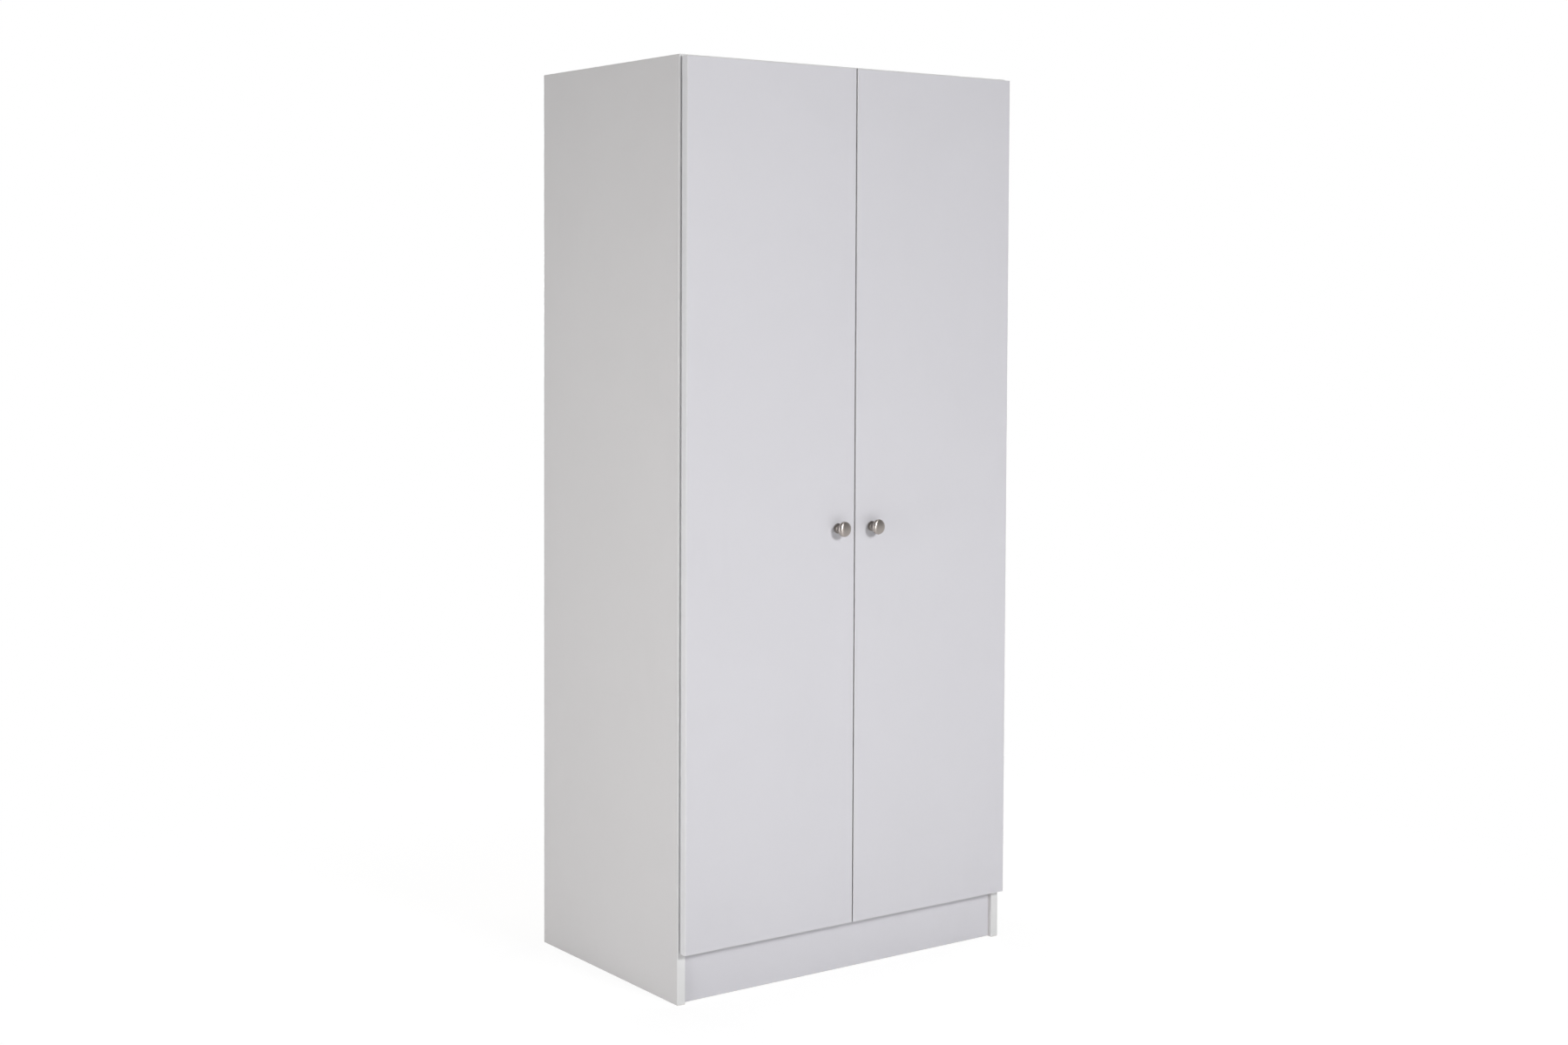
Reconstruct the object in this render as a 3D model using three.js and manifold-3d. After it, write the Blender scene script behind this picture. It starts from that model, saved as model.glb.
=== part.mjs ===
// A two-door wardrobe: a carcase of 18 mm melamine-faced boards on a recessed plinth, two full-overlay
// doors on concealed cup hinges, a pair of turned metal knobs, a hat shelf over a hanging rail, and a
// two-piece hardboard back slid into grooves.
//
// Millimetres, +Z up. The boards are set out from the middle of the width (X = 0), the front edges of
// the carcase sides (Y = 0, the back is towards +Y) and the floor (Z = 0). The finished group is then
// moved so that its origin is on the floor under the middle of everything.

import * as THREE from 'three';
import { mergeVertices } from 'three/addons/utils/BufferGeometryUtils.js';
import Module from 'manifold-3d';

const wasm = await Module();
wasm.setup();

// ---------------------------------------------------------------- driving dimensions: carcase and doors

const WIDTH = 810;                 // over the outer faces of the sides
const HEIGHT = 1800;               // floor to the top of the carcase
const SIDE_DEPTH = 504;            // front edge to back edge of a side
const BOARD = 18;                  // melamine-faced chipboard
const EDGE_EASE = 0.8;             // softened arris of an edge-banded board
const PLINTH_HEIGHT = 96;          // floor to the underside of the bottom panel
const PLINTH_RECESS = 8;           // plinth face behind the front edges of the sides
const PLINTH_LIFT = 1;             // the sides carry the weight, the plinths just clear the floor
const SEAT = 0.3;                  // fitting gap between pieces that touch

const DOOR_REVEAL = 4;             // carcase edge left showing round the pair of doors
const DOOR_GAP = 3;                // back of the doors to the front edges of the carcase
const MEETING_GAP = 3;             // between the two doors

const BACK_SHEET = 3;              // hardboard back
const BACK_INSET = 10;             // wall behind the back groove
const GROOVE_DEPTH = 8;
const STRIP_WALL = 1.2;            // H-profile that joins the two halves of the back
const STRIP_GRIP = 9;              // depth of each of its channels

const HAT_SPACE = 264;             // clear height between the hat shelf and the top panel
const SHELF_SETBACK = 25;          // hat shelf behind the front edges of the sides
const SHELF_PIN_INSET = 60;        // pins from the front and back edges of the shelf
const SHELF_PIN_DIAMETER = 5;
const SHELF_PIN_BURIED = 9;
const SHELF_PIN_REACH = 10;        // how far a pin stands out of the side
const SHELF_PIN_COLLAR = 1.5;      // thickness of the collar against the side
const SHELF_PIN_COLLAR_DIAMETER = 10;

const RAIL_DROP = 48;              // underside of the hat shelf to the middle of the rail
const RAIL_TALL = 30;              // oval tube, outside
const RAIL_WIDE = 15;
const RAIL_WALL = 1.5;
const SOCKET_WALL = 3;             // rail socket: its collar and its base
const SOCKET_REACH = 14;
const SOCKET_FLANGE = 9;           // base showing round the collar
const SOCKET_SCREW_HOLE = 4.5;
const OVAL_STEPS = 6;              // steps round each end of the rail's oval

// ---------------------------------------------------------------- driving dimensions: knobs and buffers

const KNOB_HEIGHT = 892;           // floor to the knob axis
const KNOB_FROM_EDGE = 41;         // meeting edge of the door to the knob axis
const KNOB_FOOT_DIAMETER = 20;
const KNOB_FOOT = 2.5;
const KNOB_NECK_DIAMETER = 10;
const KNOB_HEAD_DIAMETER = 30;
const KNOB_HEAD_RIM = 3;
const KNOB_DOME = 5.5;             // height of the head's elliptical dome
const KNOB_REACH = 28;             // how far the knob stands off the door
const KNOB_SOFT = 1.2;             // broken edges of the foot and the head's underside
const KNOB_BORE_DEPTH = 11;
const KNOB_SCREW_DIAMETER = 4;
const KNOB_SCREW_HEAD_DIAMETER = 8;
const KNOB_SCREW_HEAD = 2.2;
const KNOB_SCREW_POINT = 0.5;      // chamfer at the screw's tip
const KNOB_SCREW_TIP_PLAY = 1;     // room left at the bottom of the knob's bore

const BUFFER_DIAMETER = 10;
const BUFFER_FROM_EDGE = 22;       // meeting edge of the door to the buffer's middle

// ---------------------------------------------------------------- driving dimensions: cup hinges

const HINGE_FROM_END = 110;        // top and bottom hinges from the ends of the door
const HINGE_PLACES = ['bottom', 'middle', 'top'];
const CUP_BORE = 35;
const CUP_BORE_DEPTH = 12;
const CUP_WALL = 0.8;
const CUP_FLANGE = 1;              // thickness of the flange on the door's inner face
const CUP_FLANGE_RIM = 1.5;        // flange showing round the bore
const CUP_SCREW_SPACING = 48;
const CUP_SCREW_OFFSET = 6;        // screws further from the door's edge than the cup's middle
const CUP_LUG_RADIUS = 6;
const CUP_SCREW_HOLE = 4.4;
const PIN_DIAMETER = 2.2;
const PIN_PLAY = 0.2;              // radial play of the pin in its holes
const KNUCKLE_DIAMETER = 4;
const KNUCKLE_WIDTH = 6;
const KNUCKLE_OVER_FLOOR = 1.7;    // clear height under the knuckle in the cup
const KNUCKLE_TO_WALL = 0.6;       // and its distance from the cup's near wall
const EAR = 2;                     // the cup's two ears that carry the pin
const SWING_CLEARANCE = 0.35;      // least gap between door and carcase pieces while the door turns
const NECK_SHEET = 2;
const NECK_WIDTH = 8;
const NECK_BEND = 1;               // inside radius of the neck's bend
const ARM_WIDTH = 14.8;
const ARM_SHEET = 1.6;             // side walls of the arm
const ARM_LENGTH = 60;             // front edge of the side to the arm's rear end
const ARM_RISE = 8.2;              // side's inner face to the underside of the arm's web
const ARM_RAMP = 12;               // length over which the neck climbs to the web
const ARM_NOSE = 2.5;              // the ramp starts this far behind the front edge
const ARM_CORNER = 4;
const PLATE_SHEET = 2;
const PLATE_SCREW_LINE = 37;       // front edge of the side to the plate's screws
const PLATE_SCREW_SPACING = 32;
const PLATE_SCREW_HOLE = 5;
const PLATE_WING_RADIUS = 8;
const PLATE_TAIL = 4;              // the plate stops short of the arm's end by this
const ARM_FIXING_SCREW = 6.4;      // hole for the screw that clamps the arm to its plate
const ARM_ADJUSTING_SCREW = 5;     // hole for the screw that shifts the door sideways
const ARM_SCREW_SPACING = 21;

const ROUND = 28;                  // sides of the larger round forms
const SMALL_ROUND = 10;            // sides of pins and small holes
const PROFILE_STEPS = 6;           // steps along a curved stretch of the knob's profile
const SMALL_PROFILE_STEPS = 3;     // and of the profiles of screw heads and buffers
const BEND_STEPS = 4;              // steps along a bend of the hinge arm
const OVERCUT = 1;                 // how far a cutter runs past the face it opens

// ---------------------------------------------------------------- worked-out dimensions

const INNER_WIDTH = WIDTH - 2 * BOARD;
const BETWEEN_SIDES = INNER_WIDTH - 2 * SEAT;
const FLOOR_TOP = PLINTH_HEIGHT + BOARD;
const TOP_UNDERSIDE = HEIGHT - BOARD;
const SHELF_HEIGHT = TOP_UNDERSIDE - HAT_SPACE - BOARD;
const GROOVE_WIDTH = BACK_SHEET + 2 * SEAT;
const GROOVE_FRONT = SIDE_DEPTH - BACK_INSET - GROOVE_WIDTH;
const BACK_FACE = GROOVE_FRONT + SEAT;
const FLOOR_DEPTH = BACK_FACE - SEAT;

const DOOR_WIDTH = (WIDTH - MEETING_GAP) / 2 - DOOR_REVEAL;
const DOOR_BOTTOM = PLINTH_HEIGHT + DOOR_REVEAL;
const DOOR_HEIGHT = HEIGHT - DOOR_REVEAL - DOOR_BOTTOM;
const DOOR_FRONT = -(DOOR_GAP + BOARD);

const RAIL_HEIGHT = SHELF_HEIGHT - RAIL_DROP;
const RAIL_MIDDLE = SIDE_DEPTH / 2;

// The pivot pin lies just over the cup's floor, and as far from the door's edge as still lets the door's
// back corner swing past the carcase. The cup is bored where its near wall clears the knuckle.
const PIN_DEPTH = CUP_BORE_DEPTH - SEAT - CUP_WALL - KNUCKLE_OVER_FLOOR - KNUCKLE_DIAMETER / 2;
const PIN_SWING = DOOR_GAP + PIN_DEPTH - SWING_CLEARANCE;
const PIN_FROM_EDGE = Math.sqrt(PIN_SWING ** 2 - PIN_DEPTH ** 2);
const PIN_IN = DOOR_REVEAL + PIN_FROM_EDGE;
const PIN_OUT = -(DOOR_GAP + PIN_DEPTH);
const CUP_EDGE = PIN_FROM_EDGE - KNUCKLE_DIAMETER / 2 - KNUCKLE_TO_WALL - CUP_WALL - SEAT;
const EAR_REACH = KNUCKLE_WIDTH / 2 + SEAT + EAR;
const CUP_MIDDLE = DOOR_REVEAL + CUP_EDGE + CUP_BORE / 2;
const CUP_RADIUS = CUP_BORE / 2 - SEAT;
const CUP_HOLLOW = CUP_RADIUS - CUP_WALL;
const FLANGE_TOP = SEAT + CUP_FLANGE;

// The neck rises just outside the circle that the flange's near edge sweeps round the pivot.
const FLANGE_SWEEP = Math.hypot(PIN_FROM_EDGE - CUP_EDGE, PIN_DEPTH + FLANGE_TOP);
const NECK_IN = Math.max(PIN_IN + FLANGE_SWEEP + SWING_CLEARANCE, BOARD + SEAT);
const NECK_LEVEL = PIN_OUT - KNUCKLE_DIAMETER / 2;
const WEB_IN = BOARD + ARM_RISE;
const WALL_FOOT = BOARD + PLATE_SHEET + 2 * SEAT;

const hingeSpacing = (DOOR_HEIGHT - 2 * HINGE_FROM_END) / (HINGE_PLACES.length - 1);
const hingeHeights = HINGE_PLACES.map((_, index) => DOOR_BOTTOM + HINGE_FROM_END + index * hingeSpacing);

// ---------------------------------------------------------------- finishes

const finishes = {
  melamine: { color: 0xd6d5d8, roughness: 0.45, metalness: 0 },
  hardboard: { color: 0xcfccc6, roughness: 0.7, metalness: 0 },
  brushedNickel: { color: 0xa8a29c, roughness: 0.32, metalness: 1 },
  platedSteel: { color: 0xb9bcc0, roughness: 0.28, metalness: 1 },
  railSteel: { color: 0xc8cacc, roughness: 0.15, metalness: 1 },
  whitePlastic: { color: 0xe2e1de, roughness: 0.5, metalness: 0 },
  clearPlastic: { color: 0xdde0e0, roughness: 0.4, metalness: 0 },
};

function piece(name, geometry, finish) {
  const mesh = new THREE.Mesh(geometry, new THREE.MeshStandardMaterial(finish));
  mesh.name = name;
  return mesh;
}

// ---------------------------------------------------------------- joining and cutting

function solidOf(geometry) {
  const bare = geometry.clone();
  bare.deleteAttribute('normal');
  bare.deleteAttribute('uv');
  const merged = mergeVertices(bare, 1e-4);
  return new wasm.Manifold(new wasm.Mesh({
    numProp: 3,
    vertProperties: Float32Array.from(merged.attributes.position.array),
    triVerts: Uint32Array.from(merged.index.array),
  }));
}

function geometryOf(solid) {
  const mesh = solid.getMesh();
  const geometry = new THREE.BufferGeometry();
  geometry.setAttribute('position', new THREE.BufferAttribute(Float32Array.from(mesh.vertProperties), 3));
  geometry.setIndex(new THREE.BufferAttribute(Uint32Array.from(mesh.triVerts), 1));
  const faceted = geometry.toNonIndexed();
  faceted.computeVertexNormals();
  return faceted;
}

const join = (first, ...rest) => rest.reduce((sum, next) => sum.add(next), first);
const cut = (body, ...cutters) => cutters.reduce((left, cutter) => left.subtract(cutter), body);

// ---------------------------------------------------------------- basic forms

function cuboid(low, high) {
  const size = high.map((value, axis) => value - low[axis]);
  const middle = high.map((value, axis) => (value + low[axis]) / 2);
  return new THREE.BoxGeometry(...size).translate(...middle);
}

// A cylinder on an axis ('x', 'y' or 'z') from one end to the other, at the two other coordinates.
function rod(axis, from, to, across, radius, sides = SMALL_ROUND) {
  const geometry = new THREE.CylinderGeometry(radius, radius, to - from, sides);
  const middle = (from + to) / 2;
  if (axis === 'x') return geometry.rotateZ(Math.PI / 2).translate(middle, ...across);
  if (axis === 'y') return geometry.translate(across[0], middle, across[1]);
  return geometry.rotateX(Math.PI / 2).translate(...across, middle);
}

// An outline drawn in X and Y, raised along Z between two heights.
function plan(shape, low, high, curveSegments = 8) {
  return new THREE.ExtrudeGeometry(shape, { depth: high - low, bevelEnabled: false, curveSegments })
    .translate(0, 0, low);
}

// An outline drawn in X and Z, carried along Y between two places.
function elevation(shape, near, far, curveSegments = 8) {
  return plan(shape, -far, -near, curveSegments).rotateX(Math.PI / 2);
}

// An outline drawn in Y and Z, carried along X between two places.
function sideOn(shape, near, far, curveSegments = 8) {
  return plan(shape, near, far, curveSegments).rotateX(Math.PI / 2).rotateZ(Math.PI / 2);
}

function rectangle(low, high) {
  return new THREE.Shape([
    new THREE.Vector2(low[0], low[1]),
    new THREE.Vector2(high[0], low[1]),
    new THREE.Vector2(high[0], high[1]),
    new THREE.Vector2(low[0], high[1]),
  ]);
}

// A board with softened arrises, from one corner to the other. Its faces look along the thin axis.
function board(low, high, thinAxis) {
  const [across, along] = { x: [1, 2], y: [0, 2], z: [0, 1] }[thinAxis];
  const thin = 'xyz'.indexOf(thinAxis);
  const outline = rectangle([low[across], low[along]], [high[across], high[along]]);
  const thickness = high[thin] - low[thin];
  const slab = new THREE.ExtrudeGeometry(outline, {
    depth: thickness - 2 * EDGE_EASE,
    bevelSize: EDGE_EASE,
    bevelThickness: EDGE_EASE,
    bevelOffset: -EDGE_EASE,
    bevelSegments: 2,
  });
  if (thinAxis === 'z') return slab.translate(0, 0, low[2] + EDGE_EASE);
  if (thinAxis === 'y') return slab.rotateX(Math.PI / 2).translate(0, high[1] - EDGE_EASE, 0);
  return slab.rotateX(Math.PI / 2).rotateZ(Math.PI / 2).translate(low[0] + EDGE_EASE, 0, 0);
}

// hand is -1 on the left and 1 on the right: the place of something measured in from a side's outer face.
const fromSide = (hand, inwards) => hand * (WIDTH / 2 - inwards);
const ordered = (a, b) => [Math.min(a, b), Math.max(a, b)];
const sideName = (hand) => (hand < 0 ? 'left' : 'right');

// ---------------------------------------------------------------- carcase

const shelfPinPlaces = [
  ['front', SHELF_SETBACK + SHELF_PIN_INSET],
  ['back', FLOOR_DEPTH - SHELF_PIN_INSET],
];
const shelfPinHeight = SHELF_HEIGHT - SEAT - SHELF_PIN_DIAMETER / 2;

function sidePanel(hand) {
  const [low, high] = ordered(fromSide(hand, 0), fromSide(hand, BOARD));
  const slab = solidOf(board([low, 0, 0], [high, SIDE_DEPTH, HEIGHT], 'x'));
  const [deep, open] = ordered(fromSide(hand, BOARD - GROOVE_DEPTH), fromSide(hand, BOARD + OVERCUT));
  const groove = solidOf(cuboid(
    [deep, GROOVE_FRONT, -OVERCUT],
    [open, GROOVE_FRONT + GROOVE_WIDTH, HEIGHT + OVERCUT],
  ));
  const [pinDeep, pinOpen] = ordered(
    fromSide(hand, BOARD - SHELF_PIN_BURIED - SEAT),
    fromSide(hand, BOARD + OVERCUT),
  );
  const pinHoles = shelfPinPlaces.map(([, place]) => solidOf(rod(
    'x', pinDeep, pinOpen, [place, shelfPinHeight], SHELF_PIN_DIAMETER / 2 + PIN_PLAY,
  )));
  return piece(`side_panel_${sideName(hand)}`, geometryOf(cut(slab, groove, ...pinHoles)), finishes.melamine);
}

function topPanel() {
  const half = BETWEEN_SIDES / 2;
  const slab = solidOf(board([-half, 0, TOP_UNDERSIDE], [half, SIDE_DEPTH, HEIGHT], 'z'));
  const groove = solidOf(cuboid(
    [-half - OVERCUT, GROOVE_FRONT, TOP_UNDERSIDE - OVERCUT],
    [half + OVERCUT, GROOVE_FRONT + GROOVE_WIDTH, TOP_UNDERSIDE + GROOVE_DEPTH],
  ));
  return piece('top_panel', geometryOf(cut(slab, groove)), finishes.melamine);
}

function bottomPanel() {
  const half = BETWEEN_SIDES / 2;
  const geometry = board([-half, 0, PLINTH_HEIGHT], [half, FLOOR_DEPTH, FLOOR_TOP], 'z');
  return piece('bottom_panel', geometry, finishes.melamine);
}

function hatShelf() {
  const half = BETWEEN_SIDES / 2;
  const low = [-half, SHELF_SETBACK, SHELF_HEIGHT];
  const geometry = board(low, [half, FLOOR_DEPTH, SHELF_HEIGHT + BOARD], 'z');
  return piece('hat_shelf', geometry, finishes.melamine);
}

function plinth(name, front) {
  const half = BETWEEN_SIDES / 2;
  const geometry = board([-half, front, PLINTH_LIFT], [half, front + BOARD, PLINTH_HEIGHT - SEAT], 'y');
  return piece(name, geometry, finishes.melamine);
}

function shelfPin(hand, [where, place]) {
  const buried = fromSide(hand, BOARD - SHELF_PIN_BURIED);
  const face = fromSide(hand, BOARD + SEAT);
  const collarEnd = fromSide(hand, BOARD + SEAT + SHELF_PIN_COLLAR);
  const tip = fromSide(hand, BOARD + SHELF_PIN_REACH);
  const radius = SHELF_PIN_DIAMETER / 2;
  const shank = solidOf(rod('x', ...ordered(buried, tip), [place, shelfPinHeight], radius));
  const collar = solidOf(rod(
    'x', ...ordered(face, collarEnd), [place, shelfPinHeight - radius], SHELF_PIN_COLLAR_DIAMETER / 2,
  ));
  const underShelf = solidOf(cuboid(
    [-WIDTH, place - SHELF_PIN_INSET, shelfPinHeight + radius],
    [WIDTH, place + SHELF_PIN_INSET, SHELF_HEIGHT + BOARD],
  ));
  const geometry = geometryOf(cut(join(shank, collar), underShelf));
  return piece(`shelf_pin_${sideName(hand)}_${where}`, geometry, finishes.platedSteel);
}

// ---------------------------------------------------------------- back

const backBottom = PLINTH_HEIGHT;
const backTop = TOP_UNDERSIDE + GROOVE_DEPTH - SEAT;

function backPanel(hand) {
  const [low, high] = ordered(
    fromSide(hand, BOARD - GROOVE_DEPTH + SEAT),
    hand * (STRIP_WALL / 2 + SEAT),
  );
  const geometry = cuboid([low, BACK_FACE, backBottom], [high, BACK_FACE + BACK_SHEET, backTop]);
  return piece(`back_panel_${sideName(hand)}`, geometry, finishes.hardboard);
}

// An H-profile: a web between the two sheets and a flange over each face.
function backJoiningStrip() {
  const reach = STRIP_WALL / 2 + STRIP_GRIP;
  const channelFront = BACK_FACE - SEAT;
  const channelBack = BACK_FACE + BACK_SHEET + SEAT;
  const outline = rectangle([-reach, channelFront - STRIP_WALL], [reach, channelBack + STRIP_WALL]);
  const profile = solidOf(plan(outline, backBottom, TOP_UNDERSIDE - SEAT));
  const channels = [-1, 1].map((hand) => {
    const [low, high] = ordered(hand * STRIP_WALL / 2, hand * (reach + OVERCUT));
    return solidOf(cuboid([low, channelFront, backBottom - OVERCUT], [high, channelBack, TOP_UNDERSIDE]));
  });
  // The strip stands behind the floor and the shelf, so its front flange is notched round them.
  const notches = [PLINTH_HEIGHT, SHELF_HEIGHT].map((underside) => solidOf(cuboid(
    [-reach - OVERCUT, 0, underside - SEAT],
    [reach + OVERCUT, channelFront, underside + BOARD + SEAT],
  )));
  const geometry = geometryOf(cut(profile, ...channels, ...notches));
  return piece('back_joining_strip', geometry, finishes.whitePlastic);
}

// ---------------------------------------------------------------- hanging rail

// The upright oval of a wardrobe rail, drawn in Y and Z round its own middle.
function ovalOutline(tall, wide, ShapeClass = THREE.Shape) {
  const outline = new ShapeClass();
  const radius = wide / 2;
  const straight = tall / 2 - radius;
  outline.moveTo(radius, -straight);
  outline.lineTo(radius, straight);
  outline.absarc(0, straight, radius, 0, Math.PI, false);
  outline.lineTo(-radius, -straight);
  outline.absarc(0, -straight, radius, Math.PI, 2 * Math.PI, false);
  return outline;
}

function hangingRail() {
  const half = INNER_WIDTH / 2 - 2 * SEAT - SOCKET_WALL;
  const section = ovalOutline(RAIL_TALL, RAIL_WIDE);
  section.holes.push(ovalOutline(RAIL_TALL - 2 * RAIL_WALL, RAIL_WIDE - 2 * RAIL_WALL, THREE.Path));
  const mesh = piece('hanging_rail', sideOn(section, -half, half, OVAL_STEPS), finishes.railSteel);
  mesh.position.set(0, RAIL_MIDDLE, RAIL_HEIGHT);
  return mesh;
}

// A flanged socket: an oval base screwed to the side and an oval collar round the end of the rail.
function railSocket(hand) {
  const boreTall = RAIL_TALL + 2 * SEAT;
  const boreWide = RAIL_WIDE + 2 * SEAT;
  const collarTall = boreTall + 2 * SOCKET_WALL;
  const collarWide = boreWide + 2 * SOCKET_WALL;
  const along = (from, to) => ordered(-hand * from, -hand * to);
  const oval = (tall, wide, from, to) => solidOf(
    sideOn(ovalOutline(tall, wide), ...along(from, to), OVAL_STEPS),
  );
  const base = oval(collarTall + 2 * SOCKET_FLANGE, collarWide, 0, SOCKET_WALL);
  const collar = oval(collarTall, collarWide, 0, SOCKET_REACH);
  const bore = oval(boreTall, boreWide, SOCKET_WALL, SOCKET_REACH + OVERCUT);
  const screwPlace = (collarTall + SOCKET_FLANGE) / 2;
  const screwHoles = [-screwPlace, screwPlace].map((place) => solidOf(rod(
    'x', ...along(-OVERCUT, SOCKET_WALL + OVERCUT), [0, place], SOCKET_SCREW_HOLE / 2,
  )));
  const geometry = geometryOf(cut(join(base, collar), bore, ...screwHoles));
  const mesh = piece(`rail_socket_${sideName(hand)}`, geometry, finishes.railSteel);
  mesh.position.set(fromSide(hand, BOARD + SEAT), RAIL_MIDDLE, RAIL_HEIGHT);
  return mesh;
}

// ---------------------------------------------------------------- doors, knobs and buffers

const knobPlace = (hand) => hand * (MEETING_GAP / 2 + KNOB_FROM_EDGE);

function doorPanel(hand) {
  const [low, high] = ordered(fromSide(hand, DOOR_REVEAL), hand * MEETING_GAP / 2);
  const slab = solidOf(board(
    [low, DOOR_FRONT, DOOR_BOTTOM],
    [high, -DOOR_GAP, DOOR_BOTTOM + DOOR_HEIGHT],
    'y',
  ));
  const boredFrom = (depth, across, radius, sides) => solidOf(rod(
    'y', -DOOR_GAP - depth, -DOOR_GAP + OVERCUT, across, radius, sides,
  ));
  const cupPlace = fromSide(hand, CUP_MIDDLE);
  const cupBores = hingeHeights.map((height) => boredFrom(
    CUP_BORE_DEPTH, [cupPlace, height], CUP_BORE / 2, ROUND,
  ));
  const screwRadius = KNOB_SCREW_DIAMETER / 2 + SEAT;
  const screwHole = boredFrom(BOARD + OVERCUT, [knobPlace(hand), KNOB_HEIGHT], screwRadius, SMALL_ROUND);
  return piece(`door_${sideName(hand)}`, geometryOf(cut(slab, ...cupBores, screwHole)), finishes.melamine);
}

// The knob is turned round its own axis: a flat foot, a waisted neck and a domed mushroom head.
function knob(hand) {
  const foot = KNOB_FOOT_DIAMETER / 2;
  const neck = KNOB_NECK_DIAMETER / 2;
  const head = KNOB_HEAD_DIAMETER / 2;
  const rimTop = KNOB_REACH - KNOB_DOME;
  const rimFoot = rimTop - KNOB_HEAD_RIM;
  const bore = KNOB_SCREW_DIAMETER / 2 + PIN_PLAY;
  const waist = new THREE.CubicBezierCurve(
    new THREE.Vector2(foot - KNOB_SOFT, KNOB_FOOT),
    new THREE.Vector2(neck - KNOB_SOFT, KNOB_FOOT),
    new THREE.Vector2(neck - KNOB_SOFT, rimFoot),
    new THREE.Vector2(head - KNOB_SOFT, rimFoot),
  );
  const dome = new THREE.EllipseCurve(0, rimTop, head, KNOB_DOME, 0, Math.PI / 2);
  const profile = [
    new THREE.Vector2(0, KNOB_BORE_DEPTH),
    new THREE.Vector2(bore, KNOB_BORE_DEPTH),
    new THREE.Vector2(bore, 0),
    new THREE.Vector2(foot, 0),
    new THREE.Vector2(foot, KNOB_FOOT - KNOB_SOFT),
    ...waist.getPoints(PROFILE_STEPS),
    new THREE.Vector2(head, rimFoot + KNOB_SOFT / 2),
    ...dome.getPoints(PROFILE_STEPS).slice(0, -1),
    new THREE.Vector2(0, KNOB_REACH),
  ];
  const geometry = new THREE.LatheGeometry(profile, ROUND);
  const mesh = piece(`knob_${sideName(hand)}`, geometry, finishes.brushedNickel);
  mesh.rotation.x = Math.PI;
  mesh.position.set(knobPlace(hand), DOOR_FRONT - SEAT, KNOB_HEIGHT);
  return mesh;
}

// A pan-head machine screw from inside the door into the knob.
function knobScrew(hand) {
  const shank = KNOB_SCREW_DIAMETER / 2;
  const head = KNOB_SCREW_HEAD_DIAMETER / 2;
  const length = SEAT + BOARD + SEAT + KNOB_BORE_DEPTH - KNOB_SCREW_TIP_PLAY;
  const crown = new THREE.EllipseCurve(0, length, head, KNOB_SCREW_HEAD, 0, Math.PI / 2);
  const profile = [
    new THREE.Vector2(0, 0),
    new THREE.Vector2(shank - KNOB_SCREW_POINT, 0),
    new THREE.Vector2(shank, KNOB_SCREW_POINT),
    new THREE.Vector2(shank, length),
    ...crown.getPoints(SMALL_PROFILE_STEPS).slice(0, -1),
    new THREE.Vector2(0, length + KNOB_SCREW_HEAD),
  ];
  const geometry = new THREE.LatheGeometry(profile, SMALL_ROUND);
  const mesh = piece(`knob_screw_${sideName(hand)}`, geometry, finishes.platedSteel);
  mesh.position.set(knobPlace(hand), -DOOR_GAP + SEAT - length, KNOB_HEIGHT);
  return mesh;
}

// A soft dot between the door's inner face and the front edge of the top or bottom panel.
function doorBuffer(hand, [where, height]) {
  const radius = BUFFER_DIAMETER / 2;
  const thickness = DOOR_GAP - 2 * SEAT;
  const crown = new THREE.EllipseCurve(0, 0, radius, thickness, 0, Math.PI / 2);
  const profile = [
    new THREE.Vector2(0, 0),
    ...crown.getPoints(SMALL_PROFILE_STEPS).slice(0, -1),
    new THREE.Vector2(0, thickness),
  ];
  const geometry = new THREE.LatheGeometry(profile, SMALL_ROUND);
  const mesh = piece(`door_buffer_${sideName(hand)}_${where}`, geometry, finishes.clearPlastic);
  mesh.position.set(hand * (MEETING_GAP / 2 + BUFFER_FROM_EDGE), -DOOR_GAP + SEAT, height);
  return mesh;
}

const bufferPlaces = [
  ['bottom', (DOOR_BOTTOM + FLOOR_TOP) / 2],
  ['top', (DOOR_BOTTOM + DOOR_HEIGHT + TOP_UNDERSIDE) / 2],
];

// ---------------------------------------------------------------- cup hinges
//
// Each hinge is drawn for the left side, round its own height: X runs inwards from the outer face of
// the side, Y backwards from its front edge, and Z up. The same hinge turned half round the Y axis
// serves the right side.

const inCup = (axisFrom, axisTo, radius, sides, offset = [0, 0]) => rod(
  'y', axisFrom, axisTo, [CUP_MIDDLE + offset[0], offset[1]], radius, sides,
);
const pinHole = () => solidOf(rod(
  'z', -EAR_REACH - OVERCUT, EAR_REACH + OVERCUT, [PIN_IN, PIN_OUT], PIN_DIAMETER / 2 + PIN_PLAY,
));

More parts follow.
